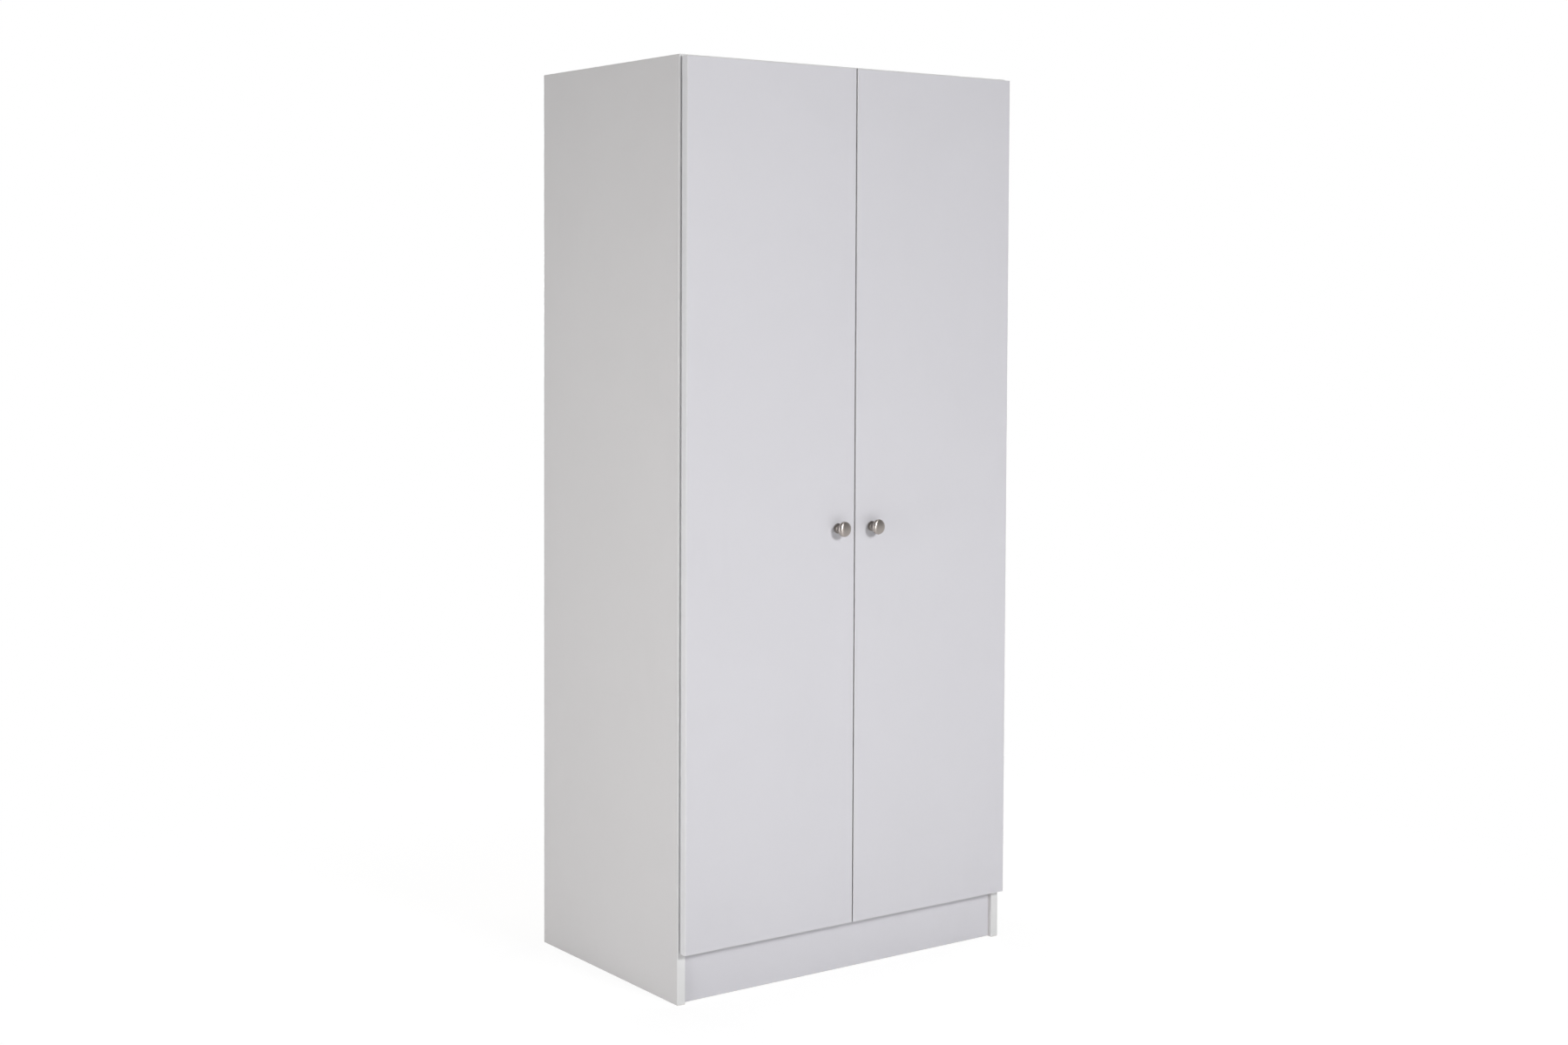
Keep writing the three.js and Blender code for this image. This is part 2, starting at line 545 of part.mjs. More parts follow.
// A pressed cup in the door: a thin-walled bowl, two ears for the pin, and a flange with screw lugs.
function hingeCup() {
  const face = -DOOR_GAP;
  const bottom = face - CUP_BORE_DEPTH + SEAT;
  const flangeLow = face + SEAT;
  const flangeHigh = face + FLANGE_TOP;
  const lugs = [-1, 1].map((end) => [CUP_SCREW_OFFSET, end * CUP_SCREW_SPACING / 2]);
  const flangeRadius = CUP_BORE / 2 + CUP_FLANGE_RIM;

  const bowl = solidOf(inCup(bottom, flangeHigh, CUP_RADIUS, ROUND));
  const disc = solidOf(inCup(flangeLow, flangeHigh, flangeRadius, ROUND));
  const bar = solidOf(cuboid(
    [CUP_MIDDLE + CUP_SCREW_OFFSET - CUP_LUG_RADIUS, flangeLow, -CUP_SCREW_SPACING / 2],
    [CUP_MIDDLE + CUP_SCREW_OFFSET + CUP_LUG_RADIUS, flangeHigh, CUP_SCREW_SPACING / 2],
  ));
  const lugEnds = lugs.map((lug) => solidOf(
    inCup(flangeLow, flangeHigh, CUP_LUG_RADIUS, SMALL_ROUND, lug),
  ));
  const nearSide = solidOf(cuboid(
    [-CUP_BORE, flangeLow - OVERCUT, -CUP_BORE],
    [CUP_MIDDLE - CUP_BORE / 2, flangeHigh + OVERCUT, CUP_BORE],
  ));
  const flange = cut(join(disc, bar, ...lugEnds), nearSide);

  const hollow = solidOf(inCup(bottom + CUP_WALL, flangeHigh + OVERCUT, CUP_HOLLOW, ROUND));
  const screwHoles = lugs.map((lug) => solidOf(inCup(
    flangeLow - OVERCUT, flangeHigh + OVERCUT, CUP_SCREW_HOLE / 2, SMALL_ROUND, lug,
  )));
  const bowlAndFlange = cut(join(bowl, flange), hollow, ...screwHoles);

  const earRadius = KNUCKLE_DIAMETER / 2;
  const ears = [-1, 1].map((end) => {
    const [low, high] = ordered(end * (EAR_REACH - EAR), end * EAR_REACH);
    const eye = solidOf(rod('z', low, high, [PIN_IN, PIN_OUT], earRadius));
    const post = solidOf(cuboid(
      [PIN_IN - earRadius, bottom + CUP_WALL / 2, low],
      [PIN_IN + earRadius, PIN_OUT, high],
    ));
    return join(eye, post);
  });
  return geometryOf(cut(join(bowlAndFlange, ...ears), pinHole()));
}

function hingePin() {
  const half = EAR_REACH + SEAT;
  return rod('z', -half, half, [PIN_IN, PIN_OUT], PIN_DIAMETER / 2);
}

// The goose-necked arm. In plan it is one strip: the knuckle on the pin, under the cup's rim, up through
// the cup's mouth past the side's front edge, and over a ramp to the web above the mounting plate.
function armStrip() {
  const strip = new THREE.Shape();
  const knuckle = KNUCKLE_DIAMETER / 2;
  const top = NECK_LEVEL + NECK_SHEET;
  const farIn = NECK_IN + NECK_SHEET;
  const outerBend = NECK_BEND + NECK_SHEET;
  const rampEnd = ARM_NOSE + ARM_RAMP;
  const midRamp = ARM_NOSE + ARM_RAMP / 2;
  strip.moveTo(PIN_IN, NECK_LEVEL);
  strip.lineTo(farIn - outerBend, NECK_LEVEL);
  strip.absarc(farIn - outerBend, NECK_LEVEL + outerBend, outerBend, -Math.PI / 2, 0, false);
  strip.lineTo(farIn, ARM_NOSE);
  strip.bezierCurveTo(farIn, midRamp, WEB_IN + NECK_SHEET, midRamp, WEB_IN + NECK_SHEET, rampEnd);
  strip.lineTo(WEB_IN + NECK_SHEET, ARM_LENGTH);
  strip.lineTo(WEB_IN, ARM_LENGTH);
  strip.lineTo(WEB_IN, rampEnd + NECK_SHEET);
  const innerMidRamp = midRamp + NECK_SHEET;
  strip.bezierCurveTo(WEB_IN, innerMidRamp, NECK_IN, innerMidRamp, NECK_IN, ARM_NOSE + NECK_SHEET);
  strip.lineTo(NECK_IN, top + NECK_BEND);
  strip.absarc(NECK_IN - NECK_BEND, top + NECK_BEND, NECK_BEND, 0, -Math.PI / 2, true);
  strip.lineTo(PIN_IN + knuckle, top);
  strip.lineTo(PIN_IN, top);
  return strip;
}

function hingeArm() {
  const half = ARM_WIDTH / 2;
  const knuckleHalf = KNUCKLE_WIDTH / 2;
  const neckHalf = NECK_WIDTH / 2;
  const strip = solidOf(plan(armStrip(), -half, half, BEND_STEPS));
  const knuckle = solidOf(rod('z', -knuckleHalf, knuckleHalf, [PIN_IN, PIN_OUT], KNUCKLE_DIAMETER / 2));

  // Seen along Y the strip is narrow between the ears; seen along X it flares behind the carcase edge.
  const earReach = PIN_IN + KNUCKLE_DIAMETER / 2 + 2 * SEAT;
  const alongY = new THREE.Shape([
    new THREE.Vector2(PIN_IN - KNUCKLE_DIAMETER, -knuckleHalf),
    new THREE.Vector2(earReach, -knuckleHalf),
    new THREE.Vector2(earReach + NECK_SHEET, -neckHalf),
    new THREE.Vector2(NECK_IN, -neckHalf),
    new THREE.Vector2(NECK_IN, -half),
    new THREE.Vector2(WEB_IN + 2 * NECK_SHEET, -half),
    new THREE.Vector2(WEB_IN + 2 * NECK_SHEET, half),
    new THREE.Vector2(NECK_IN, half),
    new THREE.Vector2(NECK_IN, neckHalf),
    new THREE.Vector2(earReach + NECK_SHEET, neckHalf),
    new THREE.Vector2(earReach, knuckleHalf),
    new THREE.Vector2(PIN_IN - KNUCKLE_DIAMETER, knuckleHalf),
  ]);
  const flareStart = -DOOR_GAP;
  const alongX = new THREE.Shape();
  alongX.moveTo(PIN_OUT - KNUCKLE_DIAMETER, -neckHalf);
  alongX.lineTo(flareStart, -neckHalf);
  alongX.lineTo(ARM_NOSE + NECK_SHEET, -half);
  alongX.lineTo(ARM_LENGTH - ARM_CORNER, -half);
  alongX.absarc(ARM_LENGTH - ARM_CORNER, -half + ARM_CORNER, ARM_CORNER, -Math.PI / 2, 0, false);
  alongX.lineTo(ARM_LENGTH, half - ARM_CORNER);
  alongX.absarc(ARM_LENGTH - ARM_CORNER, half - ARM_CORNER, ARM_CORNER, 0, Math.PI / 2, false);
  alongX.lineTo(ARM_NOSE + NECK_SHEET, half);
  alongX.lineTo(flareStart, neckHalf);
  alongX.lineTo(PIN_OUT - KNUCKLE_DIAMETER, neckHalf);
  const shaped = strip
    .intersect(solidOf(elevation(alongY, PIN_OUT - KNUCKLE_DIAMETER, ARM_LENGTH + OVERCUT)))
    .intersect(solidOf(sideOn(alongX, PIN_IN - KNUCKLE_DIAMETER, WEB_IN + 2 * NECK_SHEET, BEND_STEPS)));

  // The two side walls make the rear of the arm a channel that sits over the plate's rib.
  const wallStart = ARM_NOSE + NECK_SHEET;
  const wallEnd = ARM_LENGTH - ARM_CORNER;
  const wallOutline = new THREE.Shape([
    new THREE.Vector2(WALL_FOOT, wallStart + NECK_SHEET),
    new THREE.Vector2(WALL_FOOT, wallEnd - ARM_RISE / 2),
    new THREE.Vector2(WEB_IN + NECK_SHEET / 2, wallEnd),
    new THREE.Vector2(WEB_IN + NECK_SHEET / 2, ARM_NOSE + ARM_RAMP),
    new THREE.Vector2(NECK_IN + NECK_SHEET / 2, wallStart),
  ]);
  const walls = [-1, 1].map((end) => solidOf(
    plan(wallOutline, ...ordered(end * half, end * (half - ARM_SHEET))),
  ));

  const webHole = (place, diameter) => solidOf(rod(
    'x', WEB_IN - OVERCUT, WEB_IN + NECK_SHEET + OVERCUT, [place, 0], diameter / 2,
  ));
  return geometryOf(cut(
    join(shaped, knuckle, ...walls),
    pinHole(),
    webHole(PLATE_SCREW_LINE - ARM_SCREW_SPACING / 2, ARM_ADJUSTING_SCREW),
    webHole(PLATE_SCREW_LINE + ARM_SCREW_SPACING / 2, ARM_FIXING_SCREW),
  ));
}

// The mounting plate: a base sheet with a screw wing above and below, and the rib that the arm straddles.
function hingePlate() {
  const face = BOARD + SEAT;
  const baseTop = face + PLATE_SHEET;
  const ribHalf = ARM_WIDTH / 2 - ARM_SHEET - SEAT;
  const front = ARM_NOSE + ARM_RAMP + NECK_SHEET;
  const back = ARM_LENGTH - PLATE_TAIL;
  const wings = [-1, 1].map((end) => solidOf(rod(
    'x', face, baseTop, [PLATE_SCREW_LINE, end * PLATE_SCREW_SPACING / 2], PLATE_WING_RADIUS,
  )));
  const crossbar = solidOf(cuboid(
    [face, PLATE_SCREW_LINE - PLATE_WING_RADIUS, -PLATE_SCREW_SPACING / 2],
    [baseTop, PLATE_SCREW_LINE + PLATE_WING_RADIUS, PLATE_SCREW_SPACING / 2],
  ));
  const spine = solidOf(cuboid([face, front, -ARM_WIDTH / 2], [baseTop, back, ARM_WIDTH / 2]));
  const rib = solidOf(cuboid([face, front, -ribHalf], [WEB_IN - SEAT, back, ribHalf]));
  const screwHoles = [-1, 1].map((end) => solidOf(rod(
    'x', face - OVERCUT, baseTop + OVERCUT,
    [PLATE_SCREW_LINE, end * PLATE_SCREW_SPACING / 2], PLATE_SCREW_HOLE / 2,
  )));
  const fixingHole = solidOf(rod(
    'x', baseTop, WEB_IN, [PLATE_SCREW_LINE + ARM_SCREW_SPACING / 2, 0], ARM_FIXING_SCREW / 2 - SEAT,
  ));
  return geometryOf(cut(join(spine, crossbar, rib, ...wings), ...screwHoles, fixingHole));
}

const hingeForms = [
  ['hinge_cup', hingeCup()],
  ['hinge_pin', hingePin()],
  ['hinge_arm', hingeArm()],
  ['hinge_plate', hingePlate()],
];

function hinge(hand, height, where) {
  const group = new THREE.Group();
  for (const [form, geometry] of hingeForms) {
    group.add(piece(`${form}_${sideName(hand)}_${where}`, geometry, finishes.platedSteel));
  }
  group.position.set(fromSide(hand, 0), 0, height);
  group.rotation.y = hand < 0 ? 0 : Math.PI;
  return group;
}

// ---------------------------------------------------------------- assembly

const wardrobe = new THREE.Group();
wardrobe.add(
  topPanel(),
  bottomPanel(),
  hatShelf(),
  plinth('plinth_front', PLINTH_RECESS),
  plinth('plinth_rear', FLOOR_DEPTH - BOARD),
  backJoiningStrip(),
  hangingRail(),
);
for (const hand of [-1, 1]) {
  wardrobe.add(sidePanel(hand), backPanel(hand), railSocket(hand));
  wardrobe.add(doorPanel(hand), knob(hand), knobScrew(hand));
  for (const place of shelfPinPlaces) wardrobe.add(shelfPin(hand, place));
  for (const place of bufferPlaces) wardrobe.add(doorBuffer(hand, place));
  hingeHeights.forEach((height, index) => wardrobe.add(hinge(hand, height, HINGE_PLACES[index])));
}

const FRONT_OF_KNOBS = DOOR_FRONT - SEAT - KNOB_REACH;
wardrobe.position.y = -(SIDE_DEPTH + FRONT_OF_KNOBS) / 2;

export default wardrobe;
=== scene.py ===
"""The finishes and fittings of a two-door wardrobe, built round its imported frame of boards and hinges.

Everything is in metres in the wardrobe's own frame: +X to the right seen from the front, +Y to the back,
+Z up, with the origin on the floor under the middle. The boards, hinges and shelf pins are the frame's
own solids in new finishes. The turned knobs, the rail with its sockets, the screws, buffers, cam caps and
back nails are made here, at places worked out from the frame.
"""

import logging
import math
from collections.abc import Iterable, Mapping, Sequence
from dataclasses import dataclass, field, replace
from enum import Enum

import bmesh
import bpy
from mathutils import Matrix, Vector
from mathutils.geometry import interpolate_bezier


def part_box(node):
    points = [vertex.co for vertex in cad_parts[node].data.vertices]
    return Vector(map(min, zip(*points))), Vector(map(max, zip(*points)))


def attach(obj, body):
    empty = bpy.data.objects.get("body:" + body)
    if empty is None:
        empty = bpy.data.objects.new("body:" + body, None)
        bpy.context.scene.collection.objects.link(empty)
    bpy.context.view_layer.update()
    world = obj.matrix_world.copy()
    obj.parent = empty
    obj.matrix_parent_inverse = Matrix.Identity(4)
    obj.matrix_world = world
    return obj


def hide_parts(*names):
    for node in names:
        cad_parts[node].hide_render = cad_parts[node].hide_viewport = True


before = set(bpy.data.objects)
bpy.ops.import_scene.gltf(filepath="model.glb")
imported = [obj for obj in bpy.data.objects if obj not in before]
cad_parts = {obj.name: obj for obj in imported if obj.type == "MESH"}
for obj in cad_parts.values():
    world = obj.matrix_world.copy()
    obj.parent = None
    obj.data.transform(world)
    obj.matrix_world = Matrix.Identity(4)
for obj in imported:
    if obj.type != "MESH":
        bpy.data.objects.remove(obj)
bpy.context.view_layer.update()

log = logging.getLogger("wardrobe")

Colour = tuple[float, float, float, float]
Pair = tuple[float, float]
Triple = tuple[float, float, float]
Box = tuple[Vector, Vector]
Material = bpy.types.Material
Mesh = bpy.types.Mesh
Output = bpy.types.NodeSocket
Outputs = bpy.types.NodeOutputs
Feed = Output | float | Sequence[float] | Vector
Form = bmesh.types.BMesh

MM = 0.001
HINGE_PLACES = ("bottom", "middle", "top")
FRONT = Vector((0, -1, 0))
BACK = Vector((0, 1, 0))
DOWN = Vector((0, 0, -1))
NOWHERE = Vector((0, 0, 0))
EVENLY = Vector((1, 1, 1))

MERGE_WITHIN = 0.002 * MM
LEVEL_WITHIN = 1e-6
SHARP_FROM = math.radians(35)
NOISE_MIDDLE = 0.5


# ---------------------------------------------------------------- names and colours


class Hand(Enum):
    """The left or right half of the wardrobe, with the sign of its X."""

    LEFT = -1
    RIGHT = 1

    @property
    def word(self) -> str:
        """The word that the frame's node names use."""
        return self.name.lower()

    @property
    def body(self) -> str:
        """The body that this hand's door belongs to."""
        return f"door_{self.word}"

    @property
    def inwards(self) -> Vector:
        """The direction from this side of the wardrobe to its middle."""
        return Vector((-self.value, 0, 0))

    def outer_x(self, box: Box) -> float:
        """The X of the end of a box that is farthest from the wardrobe's middle."""
        return box[self is Hand.RIGHT].x

    def inner_x(self, box: Box) -> float:
        """The X of the end of a box that is nearest the wardrobe's middle."""
        return box[self is Hand.LEFT].x


class SocketKind(Enum):
    """The kinds of socket that an effect has."""

    VALUE = "NodeSocketFloat"
    VECTOR = "NodeSocketVector"
    COLOUR = "NodeSocketColor"


def tint(red: int, green: int, blue: int) -> Colour:
    """Turns a display colour of 0 to 255 into the linear colour that shaders take.

    Args:
        red: the red share.
        green: the green share.
        blue: the blue share.

    Returns:
        The linear colour, opaque.
    """

    def linear(share: int) -> float:
        """The linear value of one display share."""
        level = share / 255
        return level / 12.92 if level <= 0.04045 else ((level + 0.055) / 1.055) ** 2.4

    return (linear(red), linear(green), linear(blue), 1.0)


# ---------------------------------------------------------------- node trees


class Wiring:
    """Adds nodes to one node tree and joins them up."""

    def __init__(self, tree: bpy.types.NodeTree) -> None:
        """Empties the tree of a material, a world or a node group, and starts on it."""
        tree.nodes.clear()
        self.tree = tree

    def add(
        self, kind: str, inputs: Mapping[str | int, Feed] | None = None, **settings: object
    ) -> bpy.types.Node:
        """Adds a node.

        Args:
            kind: the node's type.
            inputs: a value or another node's output for each named or numbered input.
            **settings: the node's own properties.

        Returns:
            The new node.
        """
        node = self.tree.nodes.new(kind)
        for name, value in settings.items():
            setattr(node, name, value)
        for name, value in (inputs or {}).items():
            self._feed(node.inputs[name], value)
        return node

    def _feed(self, socket: Output, value: Feed) -> None:
        """Joins an output to an input, or sets the input's own value.

        Args:
            socket: the input.
            value: the output or the value.
        """
        if isinstance(value, Output):
            self.tree.links.new(value, socket)
        else:
            socket.default_value = value

    def calc(self, operation: str, *operands: Feed) -> Output:
        """The result of a Math node on some values, in order."""
        return self.add("ShaderNodeMath", dict(enumerate(operands)), operation=operation).outputs[0]

    def times(self, first: Feed, second: Feed) -> Output:
        """The product of two numbers."""
        return self.calc("MULTIPLY", first, second)

    def shifted(self, base: Feed, mask: Feed, by: Feed) -> Output:
        """A number that moves by a given amount where a mask is 1."""
        return self.calc("MULTIPLY_ADD", mask, by, base)

    def rest(self, mask: Feed) -> Output:
        """What a mask leaves out."""
        return self.calc("SUBTRACT", 1.0, mask)

    def vector(self, operation: str, *operands: Feed) -> Output:
        """The result of a Vector Math node on some vectors: a number for a length, or else a vector."""
        node = self.add("ShaderNodeVectorMath", dict(enumerate(operands)), operation=operation)
        return node.outputs["Value" if operation == "LENGTH" else "Vector"]

    def parts(self, vector: Feed) -> Outputs:
        """The X, Y and Z of a vector."""
        return self.add("ShaderNodeSeparateXYZ", {0: vector}).outputs

    def rise(self, value: Feed, low: float, high: float) -> Output:
        """A soft step from 0 at low to 1 at high. High may be the lesser, for a falling step."""
        inputs = {"Value": value, "From Min": low, "From Max": high}
        return self.add("ShaderNodeMapRange", inputs, interpolation_type="SMOOTHSTEP").outputs["Result"]

    def mix(self, share: Feed, first: Feed, second: Feed) -> Output:
        """Mixes two colours.

        Args:
            share: how much of the second colour shows.
            first: the first colour.
            second: the second colour.

        Returns:
            The mixed colour.
        """
        node = self.add("ShaderNodeMix", data_type="RGBA")
        for name, value in {"Factor": share, "A": first, "B": second}.items():
            self._feed(next(s for s in node.inputs if s.name == name and s.enabled), value)
        return next(s for s in node.outputs if s.enabled)

    def scaled(self, colour: Feed, level: Feed) -> Output:
        """A colour or vector multiplied by a number."""
        inputs = {0: colour if isinstance(colour, Output) else colour[:3], "Scale": level}
        return self.add("ShaderNodeVectorMath", inputs, operation="SCALE").outputs["Vector"]

    def noise(self, where: Feed, size: float, detail: float, stretch: Triple | None = None) -> Output:
        """Noise of a given size.

        Args:
            where: the coordinates.
            size: the width of its features, in metres.
            detail: how many finer layers it has.
            stretch: how much longer the features are along each axis.

        Returns:
            The noise, from 0 to 1 round 0.5.
        """
        if stretch is not None:
            where = self.vector("DIVIDE", where, stretch)
        inputs = {"Vector": where, "Scale": 1 / size, "Detail": detail}
        return self.add("ShaderNodeTexNoise", inputs).outputs["Fac"]

    def place(self) -> Output:
        """The surface point in the wardrobe's frame."""
        return self.add("ShaderNodeTexCoord").outputs["Object"]

    def bump(self, height: Feed, depth: float) -> Output:
        """The normal of a relief that goes from 0 to 1, whose whole depth is given in metres."""
        return self.add("ShaderNodeBump", {"Height": height, "Distance": depth}).outputs["Normal"]


class Effect:
    """A surface effect that several materials use: a node group that is built once."""

    title = ""
    takes: Mapping[str, SocketKind] = {}
    gives: Mapping[str, SocketKind] = {}

    def wire(self, wiring: Wiring, taken: Outputs) -> Mapping[str, Output]:
        """Builds the inside of the group.

        Args:
            wiring: the group's tree.
            taken: what comes in through the group's inputs, by name.

        Returns:
            What is joined to each of the group's outputs.
        """
        raise NotImplementedError

    def tree(self) -> bpy.types.NodeTree:
        """Builds the group's tree the first time it is asked for.

        Returns:
            The tree.
        """
        known = bpy.data.node_groups.get(self.title)
        if known is not None:
            return known
        tree = bpy.data.node_groups.new(self.title, "ShaderNodeTree")
        for way, sockets in (("INPUT", self.takes), ("OUTPUT", self.gives)):
            for name, kind in sockets.items():
                tree.interface.new_socket(name=name, in_out=way, socket_type=kind.value)
        wiring = Wiring(tree)
        taken = wiring.add("NodeGroupInput").outputs
        wiring.add("NodeGroupOutput", self.wire(wiring, taken))
        return tree

    def on(self, wiring: Wiring, **values: Feed) -> Outputs:
        """Places the effect in a material, with a value or an output for each of its inputs."""
        return wiring.add("ShaderNodeGroup", values, node_tree=self.tree()).outputs


class PearlGrain(Effect):
    """The fine pearl embossing that is pressed into a melamine facing."""

    title = "pearl_grain"
    takes = {"Where": SocketKind.VECTOR}
    gives = {"Height": SocketKind.VALUE, "Cloud": SocketKind.VALUE}
    pit = 0.5 * MM
    pit_depth = 0.45
    peel = 2.6 * MM
    peel_depth = 0.55
    cloud = 160 * MM

    def wire(self, wiring: Wiring, taken: Outputs) -> Mapping[str, Output]:
        """Makes fine pits on a softer orange peel, and a faint cloudiness of the paper.

        Args:
            wiring: the group's tree.
            taken: what comes in through the group's inputs, by name.

        Returns:
            The relief, and how much paler or darker the paper is.
        """
        pits = wiring.noise(taken["Where"], self.pit, detail=1.0)
        peel = wiring.noise(taken["Where"], self.peel, detail=1.0)
        cloud = wiring.noise(taken["Where"], self.cloud, detail=3.0)
        height = wiring.shifted(wiring.times(peel, self.peel_depth), pits, self.pit_depth)
        return {"Height": height, "Cloud": wiring.calc("SUBTRACT", cloud, NOISE_MIDDLE)}


class BoardZones(Effect):
    """Where on a banded board a point lies, worked out from the board's own corners."""

    title = "board_zones"
    takes = {
        name: SocketKind.VECTOR for name in ("Where", "Low", "High", "Across", "Bare low", "Bare high")
    }
    gives = {name: SocketKind.VALUE for name in ("Band", "Seam", "Arris", "Core")}
    band = 0.8 * MM
    band_blur = 0.9
    seam = 0.14 * MM
    seam_line = 0.25
    # how far in from the arris its paler paint reaches: partly wear, partly a painted highlight
    worn_from = 1.3
    wear_and_highlight_to = 0.5
    skin = 0.3 * MM

    def wire(self, wiring: Wiring, taken: Outputs) -> Mapping[str, Output]:
        """Finds the edge band, its glue line, the arris that is painted paler as wear and as a painted
        highlight, and the places that show the core.

        Args:
            wiring: the group's tree.
            taken: what comes in through the group's inputs, by name.

        Returns:
            A mask of each zone.
        """

        def least(vector: Output) -> Output:
            """The least of a vector's three parts."""
            x, y, z = wiring.parts(vector)
            return wiring.calc("MINIMUM", wiring.calc("MINIMUM", x, y), z)

        def bare(distance: Output, flags: Output) -> Output:
            """1 on the flagged faces of the board."""
            unflagged = wiring.vector("SUBTRACT", tuple(EVENLY), flags)
            return wiring.rise(least(wiring.vector("ADD", distance, unflagged)), self.skin, self.skin / 2)

        from_low = wiring.vector("SUBTRACT", taken["Where"], taken["Low"])
        from_high = wiring.vector("SUBTRACT", taken["High"], taken["Where"])
        nearest = wiring.vector("MINIMUM", from_low, from_high)
        from_edge = least(wiring.vector("ADD", nearest, taken["Across"]))
        along = wiring.vector("SUBTRACT", tuple(EVENLY), taken["Across"])
        from_face = least(wiring.vector("ADD", nearest, along))

        off_seam = wiring.calc("ABSOLUTE", wiring.calc("SUBTRACT", from_edge, self.band))
        off_arris = wiring.calc("MAXIMUM", from_edge, from_face)
        inside = wiring.rise(least(nearest), self.skin, self.skin * 2)
        low_ends = bare(from_low, taken["Bare low"])
        high_ends = bare(from_high, taken["Bare high"])
        ends = wiring.calc("MAXIMUM", low_ends, high_ends)
        cut = wiring.times(ends, wiring.rise(from_face, self.skin, self.skin * 2))
        return {
            "Band": wiring.rise(from_edge, self.band, self.band * self.band_blur),
            "Seam": wiring.rise(off_seam, self.seam, self.seam * self.seam_line),
            "Arris": wiring.rise(off_arris, self.band * self.worn_from, self.band * self.wear_and_highlight_to),
            "Core": wiring.calc("MAXIMUM", inside, cut),
        }


class ChipCore(Effect):
    """Cut chipboard: flakes of wood of many tones, with dark pits between them."""

    title = "chip_core"
    takes = {"Where": SocketKind.VECTOR}
    gives = {"Colour": SocketKind.COLOUR, "Height": SocketKind.VALUE}
    flake = 2.0 * MM
    pale = tint(216, 192, 154)
    dark = tint(160, 128, 92)
    pit = tint(96, 72, 52)
    pit_shows = 0.5
    pit_from = 0.55
    pit_to = 0.8
    flake_step = 0.5

    def wire(self, wiring: Wiring, taken: Outputs) -> Mapping[str, Output]:
        """Makes flakes from a cell pattern, each of its own tone, and the gaps between them.

        Args:
            wiring: the group's tree.
            taken: what comes in through the group's inputs, by name.

        Returns:
            The core's colour and relief.
        """
        warp = wiring.noise(taken["Where"], self.flake * 2, detail=1.0)
        bent = wiring.vector("ADD", taken["Where"], wiring.scaled((self.flake,) * 3, warp))
        cells = wiring.add("ShaderNodeTexVoronoi", {"Vector": bent, "Scale": 1 / self.flake}).outputs
        tone = wiring.add("ShaderNodeSeparateColor", {0: cells["Color"]}).outputs[0]
        gap = wiring.rise(cells["Distance"], self.pit_from, self.pit_to)
        flakes = wiring.mix(tone, self.dark, self.pale)
        return {
            "Colour": wiring.mix(wiring.times(gap, self.pit_shows), flakes, self.pit),
            "Height": wiring.calc("SUBTRACT", wiring.times(tone, self.flake_step), gap),
        }


class Handling(Effect):
    """Faint cloudy marks that hands and cloths leave on a smooth surface."""

    title = "handling"
    takes = {"Where": SocketKind.VECTOR, "Size": SocketKind.VALUE}
    gives = {"Mask": SocketKind.VALUE}
    patch = (0.5, 0.72)
    streak = (0.3, 0.7)
    streak_size = 0.12
    streak_long = (1, 1, 5)

    def wire(self, wiring: Wiring, taken: Outputs) -> Mapping[str, Output]:
        """Makes soft patches broken up by finer streaks.

        Args:
            wiring: the group's tree.
            taken: what comes in through the group's inputs, by name.

        Returns:
            A mask of the marks.
        """
        at = wiring.vector("DIVIDE", taken["Where"], taken["Size"])
        patches = wiring.rise(wiring.noise(at, 1.0, detail=2.0), *self.patch)
        streaks = wiring.noise(at, self.streak_size, detail=3.0, stretch=self.streak_long)
        return {"Mask": wiring.times(patches, wiring.rise(streaks, *self.streak))}


class DrawnLines(Effect):
    """Hairline marks in one direction, as on drawn tube, rolled strip and extruded plastic."""

    title = "drawn_lines"
    takes = {"Where": SocketKind.VECTOR, "Stretch": SocketKind.VECTOR}
    gives = {"Height": SocketKind.VALUE}
    fine = 0.25 * MM
    fine_depth = 0.4
    broad = 1.4 * MM
    broad_depth = 0.6

    def wire(self, wiring: Wiring, taken: Outputs) -> Mapping[str, Output]:
        """Adds two sizes of noise, drawn out along the long direction.

        Args:
            wiring: the group's tree.
            taken: what comes in through the group's inputs, by name.

        Returns:
            The relief.
        """
        at = wiring.vector("DIVIDE", taken["Where"], taken["Stretch"])
        fine = wiring.noise(at, self.fine, detail=2.0)
        broad = wiring.noise(at, self.broad, detail=1.0)
        return {"Height": wiring.shifted(wiring.times(broad, self.broad_depth), fine, self.fine_depth)}


# ---------------------------------------------------------------- finishes


def new_material(name: str) -> tuple[Material, Wiring]:
    """Makes an empty material.

    Args:
        name: its name.

    Returns:
        The material and its wiring.
    """
    material = bpy.data.materials.new(name)
    material.use_nodes = True
    return material, Wiring(material.node_tree)


def surface(wiring: Wiring, inputs: Mapping[str, Feed]) -> None:
    """Ends a material in a Principled surface with the given inputs."""
    shader = wiring.add("ShaderNodeBsdfPrincipled", inputs)
    wiring.add("ShaderNodeOutputMaterial", {"Surface": shader.outputs[0]})


